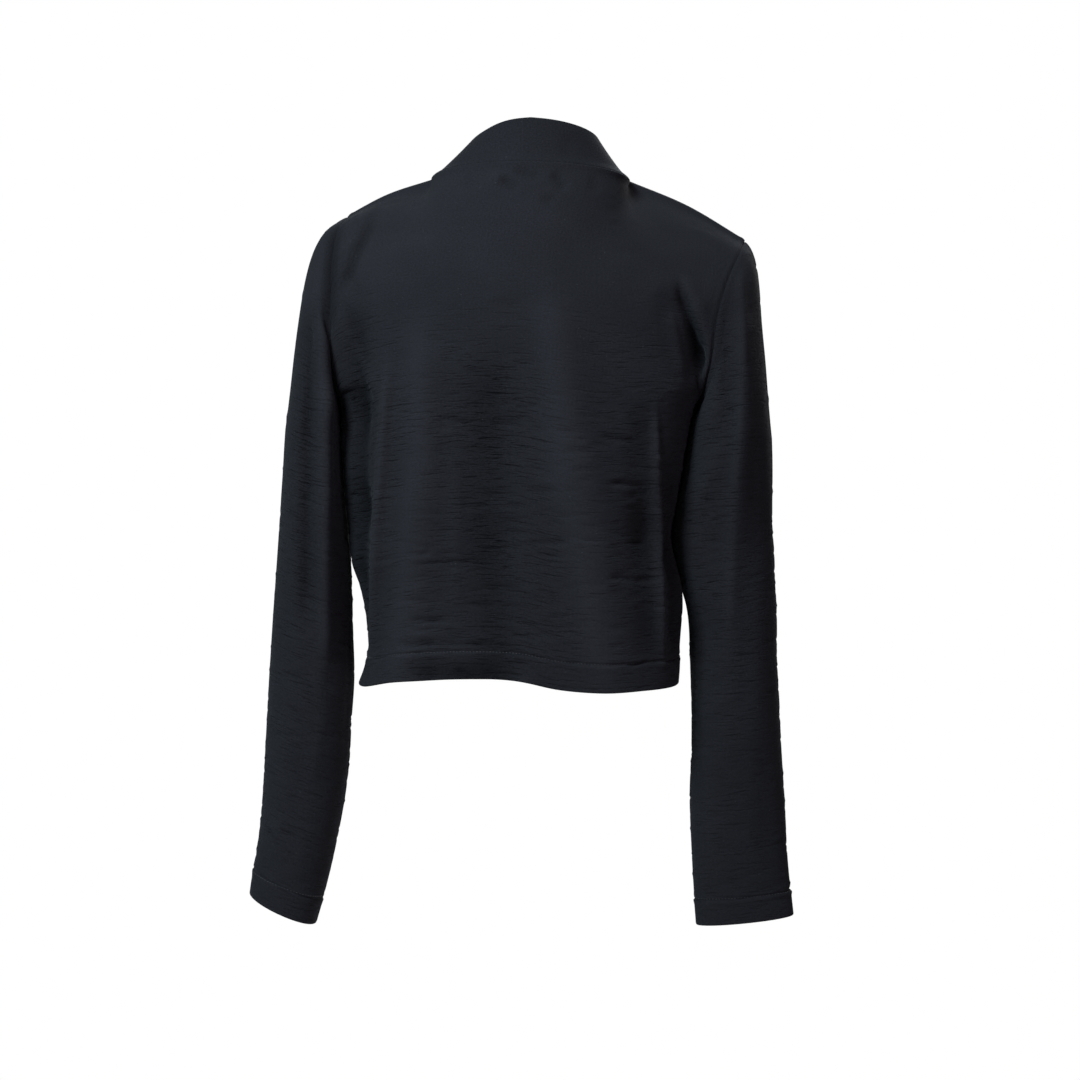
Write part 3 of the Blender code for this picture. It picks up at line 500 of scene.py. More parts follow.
            Crease((-0.1590, -0.4700), (-0.1980, -0.4420), 0.0045, -0.0009),
            Crease((-0.1640, -0.4820), (-0.2000, -0.4640), 0.0050, 0.0009),
            Crease((-0.1620, -0.4960), (-0.1920, -0.4880), 0.0026, -0.0008),
            Crease((-0.1640, -0.5110), (-0.1850, -0.5040), 0.0026, -0.0007),
            # Soft folds down the sleeve
            Crease((-0.2080, -0.340), (-0.2120, -0.520), 0.0080, 0.0008),
            Crease((-0.1720, -0.520), (-0.1780, -0.650), 0.0080, 0.0008),
            Crease((-0.2180, -0.500), (-0.2260, -0.640), 0.0080, -0.0007),
            # Puckers across
            Crease((-0.1860, -0.5530), (-0.2120, -0.5500), 0.0018, -0.0007),
            Crease((-0.2080, -0.3880), (-0.2240, -0.3860), 0.0018, -0.0006),
            Crease((-0.1760, -0.6080), (-0.2060, -0.6120), 0.0020, -0.0007),
        ),
        "front": (
            Crease((-0.2000, -0.100), (-0.1980, -0.250), 0.0080, 0.0012),
            # Bend of the elbow
            Crease((-0.2080, -0.260), (-0.1560, -0.330), 0.0070, -0.0013),
            Crease((-0.2120, -0.300), (-0.1560, -0.370), 0.0065, -0.0013),
            Crease((-0.2120, -0.282), (-0.1580, -0.350), 0.0065, 0.0012),
            # Soft folds down the forearm
            Crease((-0.1960, -0.410), (-0.2040, -0.600), 0.0080, 0.0010),
            Crease((-0.1740, -0.470), (-0.1840, -0.640), 0.0070, -0.0008),
        ),
        "right": (
            Crease((0.018, -0.120), (0.008, -0.300), 0.0080, 0.0010),
            Crease((-0.022, -0.270), (0.014, -0.335), 0.0070, -0.0011),
            Crease((-0.026, -0.320), (0.012, -0.378), 0.0065, -0.0011),
            Crease((0.000, -0.420), (0.002, -0.630), 0.0090, 0.0008),
        ),
        "left": (
            # Where the sleeve rests against the body
            Crease((-0.028, -0.170), (-0.026, -0.420), 0.0090, 0.0034),
            Crease((0.016, -0.390), (0.010, -0.560), 0.0070, -0.0009),
            Crease((-0.018, -0.400), (-0.010, -0.600), 0.0075, 0.0009),
        ),
    },
    "band": {
        "front": (
            # Down the left front, then down the right one
            Crease((0.070, -0.215), (0.028, -0.2120), 0.0026, -0.0006),
            Crease((0.072, -0.330), (0.034, -0.3330), 0.0030, -0.0006),
            Crease((0.060, -0.240), (0.054, -0.420), 0.0100, 0.0006),
            Crease((-0.070, -0.250), (-0.030, -0.2470), 0.0026, -0.0006),
            Crease((-0.070, -0.380), (-0.036, -0.3780), 0.0030, -0.0006),
            Crease((-0.058, -0.230), (-0.052, -0.420), 0.0100, 0.0006),
            # Where the band turns up towards the neck
            Crease((0.074, -0.090), (0.050, -0.0760), 0.0040, -0.0008),
            Crease((-0.074, -0.096), (-0.050, -0.0820), 0.0040, -0.0008),
        ),
        "back": (
            Crease((0.046, 0.004), (0.040, 0.034), 0.0060, -0.0006),
            Crease((0.012, 0.002), (0.010, 0.038), 0.0070, 0.0005),
            Crease((-0.030, 0.003), (-0.034, 0.036), 0.0060, -0.0007),
        ),
    },
}
CREASE_END = 0.30  # share of a crease over which it fades at each end
CREASE_CLEARANCE = 0.012  # distance from an armhole seam at which creases reach full height
FACES_AWAY = 0.45  # a crease fades where the cloth faces its view less than this

# Small uneven puckers all over, mostly across the cloth
PUCKER_HALF_LENGTH = (0.006, 0.022)
PUCKER_WIDTH = (0.0012, 0.0019)
PUCKER_HEIGHT = (0.00045, 0.00090)
PUCKER_TROUGHS = 0.62  # share of them that are troughs
PUCKER_RIDGE = 0.7  # height of a ridge, as a share of a trough's depth
PUCKER_TILT = 0.10
PUCKER_BEND = 0.06
PUCKER_REACH = 3  # widths to each side within which a pucker still shows

# Pucker fields: how many, and between which shares of the piece's rows they lie
PuckerField = namedtuple("PuckerField", "count low high")
PUCKERS = {
    "back": (PuckerField(520, 0.06, 0.62), PuckerField(150, 0.55, 0.97)),
    "front_left": (PuckerField(190, 0.06, 0.66), PuckerField(60, 0.60, 0.97)),
    "front_right": (PuckerField(190, 0.06, 0.66), PuckerField(60, 0.60, 0.97)),
    "sleeve_left": (PuckerField(120, 0.03, 0.40), PuckerField(330, 0.35, 0.96)),
    "sleeve_right": (PuckerField(120, 0.03, 0.40), PuckerField(330, 0.35, 0.96)),
    "band": (PuckerField(60, 0.02, 0.30), PuckerField(60, 0.70, 0.98)),
}
FIRST_SEED = 71
SEEDS_A_PIECE = 10

# Rounding of the body panels where they turn under the arms, by rows and columns of points
UNDERARM_EASE_ROWS = 12
UNDERARM_EASE_COLUMNS = 6
UNDERARM_PASSES = 40
UNDERARM_PULL = 0.8

# How strongly the cloth is crinkled, by height, and the band's share of that
BAND_CREPE = 0.5
Crepe = namedtuple("Crepe", "height strength")
CREPE = (
    Crepe(-0.700, 0.80),
    Crepe(-0.500, 0.90),
    Crepe(-0.300, 1.00),
    Crepe(-0.190, 0.90),
    Crepe(-0.140, 0.45),
    Crepe(-0.090, 0.10),
    Crepe(0.050, 0.05),
)

# Sewn lines: depth and half width of the groove, then where the cloth swells beside it
SEAM_GROOVE = 0.0006
SEAM_GROOVE_WIDTH = 0.0014
SEAM_SWELL_AT = 0.0036
SEAM_SWELL_WIDTH = 0.0021
SOFT_SWELL_WIDTH = 0.0048
SEAM_TURN_ENDS = 0.0020

# Kinds of seam: share of the groove, height, place and width of the swell, and extra thickness
SeamKind = namedtuple("SeamKind", "drawn swell at width turned")
SEAM_KINDS = {
    "plain": SeamKind(1.0, 0.0001, SEAM_SWELL_AT, SEAM_SWELL_WIDTH, 0.0),
    "soft": SeamKind(0.0, 0.0015, 0.0, SOFT_SWELL_WIDTH, 0.0),
    "turned": SeamKind(1.0, 0.0004, SEAM_SWELL_AT, SEAM_SWELL_WIDTH, SEAM_TURN),
}

# Turned hems: the groove of the stitches, the lips beside it, and how proud the hem stands
HEM_GROOVE = 0.0008
HEM_GROOVE_WIDTH = 0.0010
HEM_LIP = 0.0004
HEM_LIP_AT = 0.0030
HEM_LIP_WIDTH = 0.0020
HEM_PROUD = 0.0004
HEM_ABOVE = 0.0003
EDGE_TURN = 0.92  # how far round a folded edge turns, by share of its radius

# Valley along each armhole, by height: how deep it is behind and in front
VALLEY_WIDTH = 0.0075
VALLEY_TURNS = 0.030  # depth from front to back over which it changes from one to the other
VALLEY_SHADE = 2.2  # how much more painted shade it gets than a trough as deep
Valley = namedtuple("Valley", "height behind before")
VALLEY = {
    "left": (
        Valley(-0.208, 0.0000, 0.0000),
        Valley(-0.160, 0.0000, 0.0000),
        Valley(-0.140, 0.0026, 0.0004),
        Valley(-0.110, 0.0042, 0.0014),
        Valley(-0.070, 0.0042, 0.0008),
        Valley(-0.045, 0.0026, 0.0000),
        Valley(-0.025, 0.0000, 0.0000),
    ),
    "right": (
        Valley(-0.208, 0.0000, 0.0000),
        Valley(-0.170, 0.0000, 0.0000),
        Valley(-0.140, 0.0018, 0.0010),
        Valley(-0.110, 0.0018, 0.0014),
        Valley(-0.080, 0.0004, 0.0004),
        Valley(-0.051, 0.0000, 0.0000),
    ),
}

# Which edges of each piece lie along which armhole
ARMHOLE_EDGES = {
    "back": (("first_column", "left"), ("last_column", "right")),
    "front_left": (("first_column", "left"),),
    "front_right": (("first_column", "right"),),
    "sleeve_left": (("first_row", "left"),),
    "sleeve_right": (("first_row", "right"),),
    "band": (),
}

# How each edge of a piece is finished
BACK_EDGES = {
    "first_row": "hem",
    "last_row": "soft",
    "first_column": "turned",
    "last_column": "turned",
}
FRONT_EDGES = {
    "first_row": "hem",
    "last_row": "plain",
    "first_column": "plain",
    "last_column": "turned",
}
SLEEVE_EDGES = {"first_row": "plain", "last_row": "hem", "seam": "plain"}
BAND_EDGES = {"first_row": "fold", "last_row": "fold", "first_column": "soft", "last_column": "fold"}

# Stitches along the hems
STITCH_PITCH = 0.0029
STITCH_LENGTH = 0.0022
STITCH_RADIUS = 0.00026
STITCH_END = 0.06
STITCH_SINK = 0.00022
STITCH_SIDES = 6
STITCH_RINGS = 4

# Uneven patterns: places per metre across and along the cloth, then the kind of noise
Pattern = namedtuple("Pattern", "scale detail roughness distortion")
SLUBS = Pattern((48.0, 400.0, 1.0), 3.0, 0.55, 0.35)
FINE_SLUBS = Pattern((130.0, 760.0, 1.0), 2.0, 0.5, 0.0)
GRAIN = Pattern((560.0, 640.0, 1.0), 2.0, 0.6, 0.0)
WALES = Pattern((620.0, 45.0, 1.0), 1.0, 0.5, 0.0)
CLOUDS = Pattern((22.0, 30.0, 1.0), 2.0, 0.5, 0.0)
LINT = Pattern((520.0, 700.0, 1.0), 2.0, 0.7, 0.0)
THREAD_TWIST = Pattern((1200.0, 1200.0, 1200.0), 2.0, 0.6, 0.0)
FLOOR_MOTTLE = Pattern((3.0, 3.0, 3.0), 3.0, 0.5, 0.0)

# The part of each pattern that is used, from where it begins to where it is full
SLUB_RANGE = (0.53, 0.76)
FINE_SLUB_RANGE = (0.52, 0.78)
PATCH_RANGE = (0.36, 0.60)
PATCH_LEAST = 0.45
LINT_RANGE = (0.74, 0.80)
ROUGHNESS_RANGE = (0.3, 0.7)
TONE_RANGE = (0.05, 0.85)

# How much each pattern adds to the knit's relief and to its tone; in the tone the dashes are painted
# shade in the crinkles' grooves
RELIEF = {"grain": 0.25, "dashes": -1.0, "fine dashes": -0.30, "wales": 0.15}
# The folds' tone is painted light on ridges and painted shade in hollows, armhole valleys and underarms
TONE = {"grain": 0.75, "clouds": 0.20, "dashes": -0.22, "fine dashes": -0.12, "folds": 0.16}
BUMP_DEPTH = 0.0013

# The knit on folds: smoother, with painted light, on a ridge; more crinkled, with painted shade, in a
# hollow
FULL_FOLD = 0.0050
DEEPEST_FOLD = -3.2
SMOOTH_ON_FOLDS = 0.55

# Painted shade on the cloth beside the side seams, up to the underarms, where the sleeves shade the
# body
UNDERARM_PAINTED_SHADE = 2.5
UNDERARM_PAINTED_SHADE_WIDTH = 0.062
UNDERARM_PAINTED_SHADE_HEIGHT = 0.060

# Pieces given a little painted shade all over, counted in full folds
PIECE_SHADE = {"band": -0.625, "sleeve_right": -0.375}

# Finish of the knit, the thread and the floor
KNIT_DARK = (0.0040, 0.0041, 0.0050)
KNIT_LIGHT = (0.0215, 0.0220, 0.0255)
KNIT_ROUGHNESS = (0.88, 0.98)
KNIT_SPECULAR = 0.08
LINT_COLOUR = (0.085, 0.088, 0.095)
SHEEN = 0.035
SHEEN_ROUGHNESS = 0.45
SHEEN_TINT = (0.80, 0.88, 1.0)
THREAD_DARK = (0.008, 0.008, 0.010)
THREAD_LIGHT = (0.021, 0.022, 0.026)
THREAD_BUMP = 0.6
THREAD_BUMP_DEPTH = 0.00008
THREAD_ROUGHNESS = 0.55
THREAD_SHEEN = 0.3
FLOOR_DARK = (0.84, 0.84, 0.84)
FLOOR_LIGHT = (0.89, 0.89, 0.89)
FLOOR_ROUGHNESS = 0.8
MATERIAL_SHIFT = 7.3  # moves the patterns along, so that no two pieces look alike

# The size of a piece as cut, before it was filled out: width and length in metres, and area
FlatCut = namedtuple("FlatCut", "size area")

# Camera, floor and lights
CAMERA_PLACE = (-0.0135, 1.7, -0.332)
CAMERA_ROLL = 1.1
LENS = 61.2
SENSOR = 36.0
CLIP_START = 0.01
FLOOR_HEIGHT = -1.28
FLOOR_RADIUS = 1.05
FLOOR_SIDES = 96
AMBIENT = 0.13
AMBIENT_COLOUR = (0.94, 0.96, 1.0)
Light = namedtuple("Light", "size energy colour place aim")
LIGHTS = {
    "overhead": Light((0.9, 0.7), 6.0, (0.92, 0.96, 1.0), (0.1, 0.9, 1.5), (0.0, 0.05, -0.25)),
    "key": Light((0.6, 0.6), 64.0, (0.76, 0.91, 1.0), (1.02, 1.48, 1.05), (0.0, 0.05, -0.38)),
    "warm side": Light((0.8, 1.2), 8.0, (1.0, 0.60, 0.84), (-1.0, 2.2, 0.0), (-0.1, 0.0, -0.40)),
    "front": Light((1.6, 1.2), 40.0, (1.0, 0.99, 0.97), (-0.5, -1.7, 1.0), (0.0, -0.05, -0.3)),
}

SIGN = {"left": 1.0, "right": -1.0}  # which way each side lies along X
CURVE_STEPS = 241  # points on a curve before it is divided evenly
SAME_POINT_DIGITS = 6  # points of two pieces that agree to a micrometre are one point of a seam
TINY = 1e-12  # keeps a direction of no length from being divided by nothing
LEAST_SPAN = 1e-6  # the same for two points at one height


def smooth(knots, values, at):
    """A smooth curve through the values at the knots, read at other places."""
    knots = np.asarray(knots, float)
    values = np.asarray(values, float)
    slopes = np.gradient(values, knots, axis=0)
    at = np.clip(np.asarray(at, float), knots[0], knots[-1])
    left = np.clip(np.searchsorted(knots, at, side="right") - 1, 0, len(knots) - 2)
    span = knots[left + 1] - knots[left]
    share = (at - knots[left]) / span
    if values.ndim > 1:
        span = span[..., None]
        share = share[..., None]
    rise = values[left + 1] - values[left]
    start = slopes[left] * span
    end = slopes[left + 1] * span
    return (
        values[left]
        + start * share
        + (3 * rise - 2 * start - end) * share**2
        + (start + end - 2 * rise) * share**3
    )


def read_table(table, at):
    """The columns of a table after its first, at places along the first."""
    rows = np.array(table)
    return smooth(rows[:, 0], rows[:, 1:], at)


def ease(share):
    """0 to 1 with level ends."""
    share = np.clip(share, 0.0, 1.0)
    return share * share * (3 - 2 * share)


def unit(vectors):
    """The same directions with length one."""
    return vectors / np.maximum(np.linalg.norm(vectors, axis=-1, keepdims=True), TINY)


def lengths_along(points):
    """Distance of each point from the first, along the points."""
    steps = np.linalg.norm(np.diff(points, axis=0), axis=-1)
    return np.concatenate((np.zeros((1, *steps.shape[1:])), np.cumsum(steps, axis=0)))


def seam_line(seam, shares):
    """Points at shares of the length of a smooth seam through its named points."""
    points = np.array(seam)
    knots = lengths_along(points)
    fine = smooth(knots, points, np.linspace(0.0, knots[-1], CURVE_STEPS))
    along = lengths_along(fine)
    at = np.asarray(shares) * along[-1]
    return np.stack([np.interp(at, along, fine[:, axis]) for axis in range(3)], 1)


def quarter(width, depth, squareness):
    """A rounded quarter turn from (0, depth) to (width, 0), as fine points and their lengths."""
    angle = np.linspace(0.0, np.pi / 2, CURVE_STEPS)
    x = width * np.sin(angle) ** (2 / squareness)
    y = depth * np.clip(np.cos(angle), 0.0, 1.0) ** (2 / squareness)
    points = np.stack([x, y], 1)
    return points, lengths_along(points)


def quarter_at(width, depth, squareness, shares):
    """Points at shares of a rounded quarter turn's length."""
    points, along = quarter(width, depth, squareness)
    at = np.asarray(shares) * along[-1]
    return np.stack([np.interp(at, along, points[:, axis]) for axis in range(2)], 1)


def spaced(length, step, start, end):
    """Shares of a line divided evenly by about one step, with closer points near its ends."""
    count = max(1, round((length - start[-1] - end[-1]) / step))
    even = np.linspace(start[-1], length - end[-1], count + 1)
    near_start = np.array(start[:-1])
    near_end = length - np.array(end[:-1])[::-1]
    return np.concatenate((near_start, even, near_end)) / length


SHOULDER_PLACES = spaced(SHOULDER_LENGTH, STEP, SEAM_STEPS, (0.0,))
NECK_PLACES = spaced(NECK_LENGTH, STEP, (0.0,), (0.0,))
ARMHOLE_PLACES = spaced(ARMHOLE_LENGTH, ARMHOLE_STEP, SEAM_STEPS, SEAM_STEPS)
CAP_PLACES = spaced(CAP_LENGTH, CAP_STEP, SEAM_STEPS, (0.0,))
BAND_PLACES = spaced(BAND_WIDTH, BAND_STEP, SEAM_STEPS, EDGE_STEPS)


def turned_rises(depth):
    """Distances from a folded edge up past its stitches, closer where the surface turns."""
    beside_stitches = depth + np.array(STITCH_STEPS)
    count = round((beside_stitches[0] - EDGE_STEPS[-1]) / STEP)
    middle = np.linspace(EDGE_STEPS[-1], beside_stitches[0], count + 1)[1:]
    return np.concatenate((EDGE_STEPS, middle, beside_stitches[1:]))


def row_rises():
    """How far each row of the lower body stands above the hem."""
    turned = turned_rises(HEM_DEPTH)
    length = UNDERARM_HEIGHT - HEM_HEIGHT - turned[-1]
    body = turned[-1] + length * spaced(length, STEP, (0.0,), (0.0,))
    return np.concatenate((turned, body[1:]))


def back_row(height):
    """The back's row at one height, from the left side seam to the right one, in plan."""
    left, right, back, _ = read_table(BODY, [height])[0]
    depth = back - SIDE_SEAM_Y
    half = SHOULDER_COLUMNS + NECK_COLUMNS // 2
    shares = np.linspace(0.0, 1.0, half + 1)
    to_left = quarter_at(left - MIDDLE_X, depth, BACK_SQUARENESS, shares)
    to_right = quarter_at(MIDDLE_X - right, depth, BACK_SQUARENESS, shares)
    x = np.concatenate((MIDDLE_X + to_left[::-1, 0], MIDDLE_X - to_right[1:, 0]))
    y = np.concatenate((to_left[::-1, 1], to_right[1:, 1])) + SIDE_SEAM_Y
    return np.stack([x, y], 1)


def front_row(side, height):
    """A front's row at one height, from its side seam to the band, in plan."""
    left, right, _, front = read_table(BODY, [height])[0]
    width = left - MIDDLE_X if side == "left" else MIDDLE_X - right
    points, along = quarter(width, SIDE_SEAM_Y - front, FRONT_SQUARENESS)
    edge = read_table([(point.z, point.x) for point in FRONT_EDGE], [height])[0, 0] - MIDDLE_X
    from_centre = np.interp(edge, points[:, 0], along)
    at = np.linspace(along[-1], from_centre, SHOULDER_COLUMNS + 1)
    x = np.interp(at, along, points[:, 0])
    y = np.interp(at, along, points[:, 1])
    return np.stack([MIDDLE_X + SIGN[side] * x, SIDE_SEAM_Y - y], 1)


def lower_body(rows_in_plan, hem):
    """Rows from the hem to the underarm, each at its height with the hem's dips faded upwards."""
    full = UNDERARM_HEIGHT - HEM_HEIGHT
    columns = rows_in_plan[0].shape[0]
    hem_heights = read_table(hem, np.linspace(0.0, 1.0, columns))[:, 0]
    rows = []
    for plan, rise in zip(rows_in_plan, row_rises()):
        heights = hem_heights + (UNDERARM_HEIGHT - hem_heights) * rise / full
        rows.append(np.concatenate((plan, heights[:, None]), 1))
    return np.array(rows)


def back_neck(shares):
    """The neck seam of the back at shares from the left shoulder to the right one."""
    left = np.array(SHOULDER["left"][-1])
    right = np.array(SHOULDER["right"][-1])
    centre = np.array(CENTRE_BACK[-1])
    turned = quarter_at(1.0, 1.0, NECK_SQUARENESS, np.abs(2 * shares - 1))
    side = np.where(shares[:, None] <= 0.5, left, right)
    mix = np.stack((turned[:, 0], 1 - turned[:, 1], turned[:, 0] ** 2), 1)
    return centre + (side - centre) * mix


def back_top():
    """The top edge of the back: left shoulder seam, neck seam, right shoulder seam."""
    shoulder = np.linspace(0.0, 1.0, SHOULDER_COLUMNS + 1)
    return np.concatenate(
        (
            seam_line(SHOULDER["left"], shoulder),
            back_neck(np.linspace(0.0, 1.0, NECK_COLUMNS + 1))[1:-1],
            seam_line(SHOULDER["right"], shoulder)[::-1],
        )
    )


def shares_between(points, start, end):
    """Each coordinate's share of the way from one point to another."""
    span = end - start
    span = np.where(np.abs(span) < LEAST_SPAN, LEAST_SPAN, span)
    return (points - start) / span


def soften(profile, reach):
    """A profile with its corners rounded, except at its two ends."""
    places = np.linspace(0.0, 1.0, len(profile))
    weights = np.exp(-(((places[:, None] - places[None, :]) / reach) ** 2))
    rounded = weights @ profile / weights.sum(1, keepdims=True)
    inside = ease(places / CORNER_FADE) * ease((1 - places) / CORNER_FADE)
    return profile + (rounded - profile) * inside[:, None]


def back_half(side, ring, top):
    """Rows of one half of the back above the underarm, each from the centre to the armhole."""
    low = shares_between(ring, ring[0], ring[-1])
    sharp = shares_between(top, top[0], top[-1])
    bowed = low[:, 0] ** BLADE_BOW
    centres = seam_line(CENTRE_BACK, ARMHOLE_PLACES[1:])
    edges = seam_line(BACK_ARMHOLE[side], ARMHOLE_PLACES[1:])
    rows = []
    for share, centre, edge in zip(ARMHOLE_PLACES[1:], centres, edges):
        blade = ease(share / BLADES_FULL)
        yoke = ease((share - YOKE_STARTS) / (1 - YOKE_STARTS))
        high = soften(sharp, NECK_CORNER * (1 - share) + CORNER_LEAST)
        flat = np.stack((low[:, 0], low[:, 1] + (bowed - low[:, 1]) * blade, bowed), 1)
        rows.append(centre + (edge - centre) * (flat + (high - flat) * yoke))
    return np.array(rows)


def pick(grid, places):
    """The columns of a grid at places counted in columns."""
    left = np.clip(np.floor(places).astype(int), 0, grid.shape[1] - 2)
    share = (places - left)[None, :, None]
    return grid[:, left] * (1 - share) + grid[:, left + 1] * share


def back_grid():
    """Outer points of the back."""
    heights = HEM_HEIGHT + row_rises()
    low = lower_body([back_row(height) for height in heights], BACK_HEM)
    top = back_top()
    half = SHOULDER_COLUMNS + NECK_COLUMNS // 2
    left = back_half("left", low[-1, half::-1], top[half::-1])
    right = back_half("right", low[-1, half:], top[half:])
    high = np.concatenate((left[:, ::-1], right[:, 1:]), 1)
    shoulder = SHOULDER_PLACES * SHOULDER_COLUMNS
    neck = SHOULDER_COLUMNS + NECK_PLACES * NECK_COLUMNS
    far = 2 * SHOULDER_COLUMNS + NECK_COLUMNS - shoulder[::-1]
    return pick(np.concatenate((low, high)), np.concatenate((shoulder, neck[1:], far[1:])))


def front_edge_line(side, shares):
    """The sewn edge of a front above the underarm, up to the neck."""
    upper = [point for point in FRONT_EDGE if point.z >= UNDERARM_HEIGHT]
    line = seam_line(upper, shares)
    neck = np.array(SHOULDER[side][-1])
    line[:, 0] = MIDDLE_X + SIGN[side] * (line[:, 0] - MIDDLE_X)
    line += (neck - line[-1]) * ease(np.asarray(shares))[:, None]
    return line


def front_grid(side):
    """Outer points of a front, from its side seam and armhole to the band."""
    heights = HEM_HEIGHT + row_rises()
    low = lower_body([front_row(side, height) for height in heights], FRONT_HEM[side])
    ring = low[-1]
    top = seam_line(SHOULDER[side], np.linspace(0.0, 1.0, SHOULDER_COLUMNS + 1))
    at_ring = shares_between(ring, ring[0], ring[-1])
    at_top = shares_between(top, top[0], top[-1])
    at_ring[:, 2] = np.linspace(0.0, 1.0, SHOULDER_COLUMNS + 1)
    shares = ARMHOLE_PLACES[1:]
    edges = front_edge_line(side, shares)
    offset = ring[-1] - front_edge_line(side, [0.0])[0]
    edges += offset * (1 - ease(shares / FRONTS_TURN))[:, None]
    armholes = seam_line(FRONT_ARMHOLE[side], shares)
    rows = []
    for share, edge, armhole in zip(shares, edges, armholes):
        mix = at_ring + (at_top - at_ring) * ease(share)
        rows.append(armhole + (edge - armhole) * mix)
    return pick(np.concatenate((low, np.array(rows))), SHOULDER_PLACES * SHOULDER_COLUMNS)


def round_armhole():
    """Share of the armhole at each column of a sleeve: up the back and down the front."""
    return np.concatenate((ARMHOLE_PLACES, ARMHOLE_PLACES[-2:0:-1]))


def sleeve_ring(side, row):
    """A closed ring of the sleeve, from the underarm line round the back to the outer side."""
    height, inner, outer, front, back, tilt = row
    width = (outer - inner) / 2
    middle = (outer + inner) / 2
    level = (front + back) / 2
    depth = (back - front) / 2
    around = round_armhole()
    lying = ease((height - SLEEVE_HANGS_FREE) / (SLEEVE_LIES_ON_BODY - SLEEVE_HANGS_FREE))
    flat = SLEEVE_SQUARENESS + (FLAT_SQUARENESS - SLEEVE_SQUARENESS) * lying
    inside = quarter_at(width, depth, flat, np.clip(1 - 2 * around, 0.0, 1.0)) * (-1, 1)
    outside = quarter_at(width, depth, SLEEVE_SQUARENESS, np.clip(2 * around - 1, 0.0, 1.0))
    across, deep = np.where(around[:, None] <= 0.5, inside, outside).T
    deep = np.where(np.arange(len(around)) < len(ARMHOLE_PLACES), deep, -deep)
    x = SIGN[side] * (middle + across)
    z = height + tilt * across / width
    return np.stack([x, level + deep, z], 1)


def sleeve_heights(side):
    """Heights of the sleeve's rings below the underarm, the turned cuff last."""
    top = SLEEVE[side][0].height
    bottom = SLEEVE[side][-1].height
    turned = bottom + turned_rises(CUFF_DEPTH)
    tube = np.linspace(top, turned[-1], round((top - turned[-1]) / STEP) + 1)
    return np.concatenate((tube, turned[-2::-1]))


def sleeve_grid(side, armhole):
    """Outer points of a sleeve: rings from the armhole seam down to the cuff."""
    table = [tuple(row) for row in SLEEVE[side]][::-1]
    heights = sleeve_heights(side)
    values = read_table(table, heights)
    tube = np.array([sleeve_ring(side, (height, *row)) for height, row in zip(heights, values)])
    around = round_armhole()
    leave = read_table(CAP[side], around)
    none = np.zeros(len(around))
    outward = np.stack([SIGN[side] * leave[:, 0], none, -leave[:, 1]], 1)
    leaving = armhole + unit(outward) * leave[:, 2:3]
    fall = armhole[:, 2] - tube[0, :, 2]
    settling = tube[0] + np.stack([-SIGN[side] * CAP_FLARE * fall * around, none, CAP_SETTLE * fall], 1)
    cap = []
    for share in CAP_PLACES[:-1]:
        rest = 1 - share
        cap.append(
            rest**3 * armhole
            + 3 * rest**2 * share * leaving
            + 3 * rest * share**2 * settling
            + share**3 * tube[0]
        )
    return np.concatenate((np.array(cap), tube))


def band_steps(side, seam, round_neck):
    """The step from the seam to the free edge at each point of the band's seam."""
    if round_neck is None:
        steps = read_table(FRONT_BAND, seam[:, 2])
        blend = ease((seam[:, 2] - FRONT_BAND[-3].at) / (FRONT_BAND[-1].at - FRONT_BAND[-3].at))
        meet = np.array(NECK_BAND[side][0][1:]) - np.array(FRONT_BAND[-1][1:])
        steps = steps + blend[:, None] * meet
    else:
        steps = read_table(NECK_BAND[side], round_neck)
    return np.stack([-SIGN[side] * steps[:, 0], steps[:, 1], steps[:, 2]], 1)


def band_grid(front_left, front_right, back):
    """Outer points of the band: up the left front, round the neck and down the right front."""
    shoulder = len(SHOULDER_PLACES) - 1
    neck = back[-1, shoulder:-shoulder]
    to_centre = 1 - np.abs(2 * NECK_PLACES - 1)
    half = len(NECK_PLACES) // 2
    left_seam = front_left[:, -1]
    right_seam = front_right[::-1, -1]
    seam = np.concatenate((left_seam, neck[1:-1], right_seam))
    steps = np.concatenate(
        (
            band_steps("left", left_seam, None),
            band_steps("left", neck[1 : half + 1], to_centre[1 : half + 1]),
            band_steps("right", neck[half + 1 : -1], to_centre[half + 1 : -1]),
            band_steps("right", right_seam, None),
        )
    )
    return seam[:, None] + steps[:, None] * BAND_PLACES[None, :, None]


def facing(grid, wraps, sign):
    """Outward directions of a grid's points."""
    if wraps:
        padded = np.concatenate((grid[:, -1:], grid, grid[:, :1]), 1)
        across = (padded[:, 2:] - padded[:, :-2]) / 2
    else:
        across = np.gradient(grid, axis=1)
    return unit(np.cross(np.gradient(grid, axis=0), across)) * sign


def rim_mask(piece):
    """Which points of a piece lie on its edges."""
    mask = np.zeros(piece["grid"].shape[:2], bool)
    mask[0] = mask[-1] = True
    if not piece["wraps"]:
        mask[:, 0] = mask[:, -1] = True
    return mask


def face_pieces(pieces):
    """Works out which way every point faces. Points shared at a seam get one direction."""
    total = {}
    for piece in pieces.values():
        piece["facing"] = facing(piece["grid"], piece["wraps"], piece["sign"])
        rim = rim_mask(piece)
        piece["keys"] = list(map(tuple, np.round(piece["grid"][rim], SAME_POINT_DIGITS)))
        for key, direction in zip(piece["keys"], piece["facing"][rim]):
            total[key] = total.get(key, np.zeros(3)) + direction
    for piece in pieces.values():
        rim = rim_mask(piece)
        piece["facing"][rim] = unit(np.array([total[key] for key in piece["keys"]]))


def fold_height(fold, points):
    """Rise of one fold at points near it."""
    start = np.array(fold.start)
    along = np.array(fold.end) - start
    from_start = points - start
    share = np.clip(from_start @ along / (along @ along), 0.0, 1.0)
    off = np.linalg.norm(from_start - share[..., None] * along, axis=-1)
    ends = ease(share / FOLD_END) * ease((1 - share) / FOLD_END)
    return fold.height * np.exp(-((off / fold.width) ** 2)) * ends


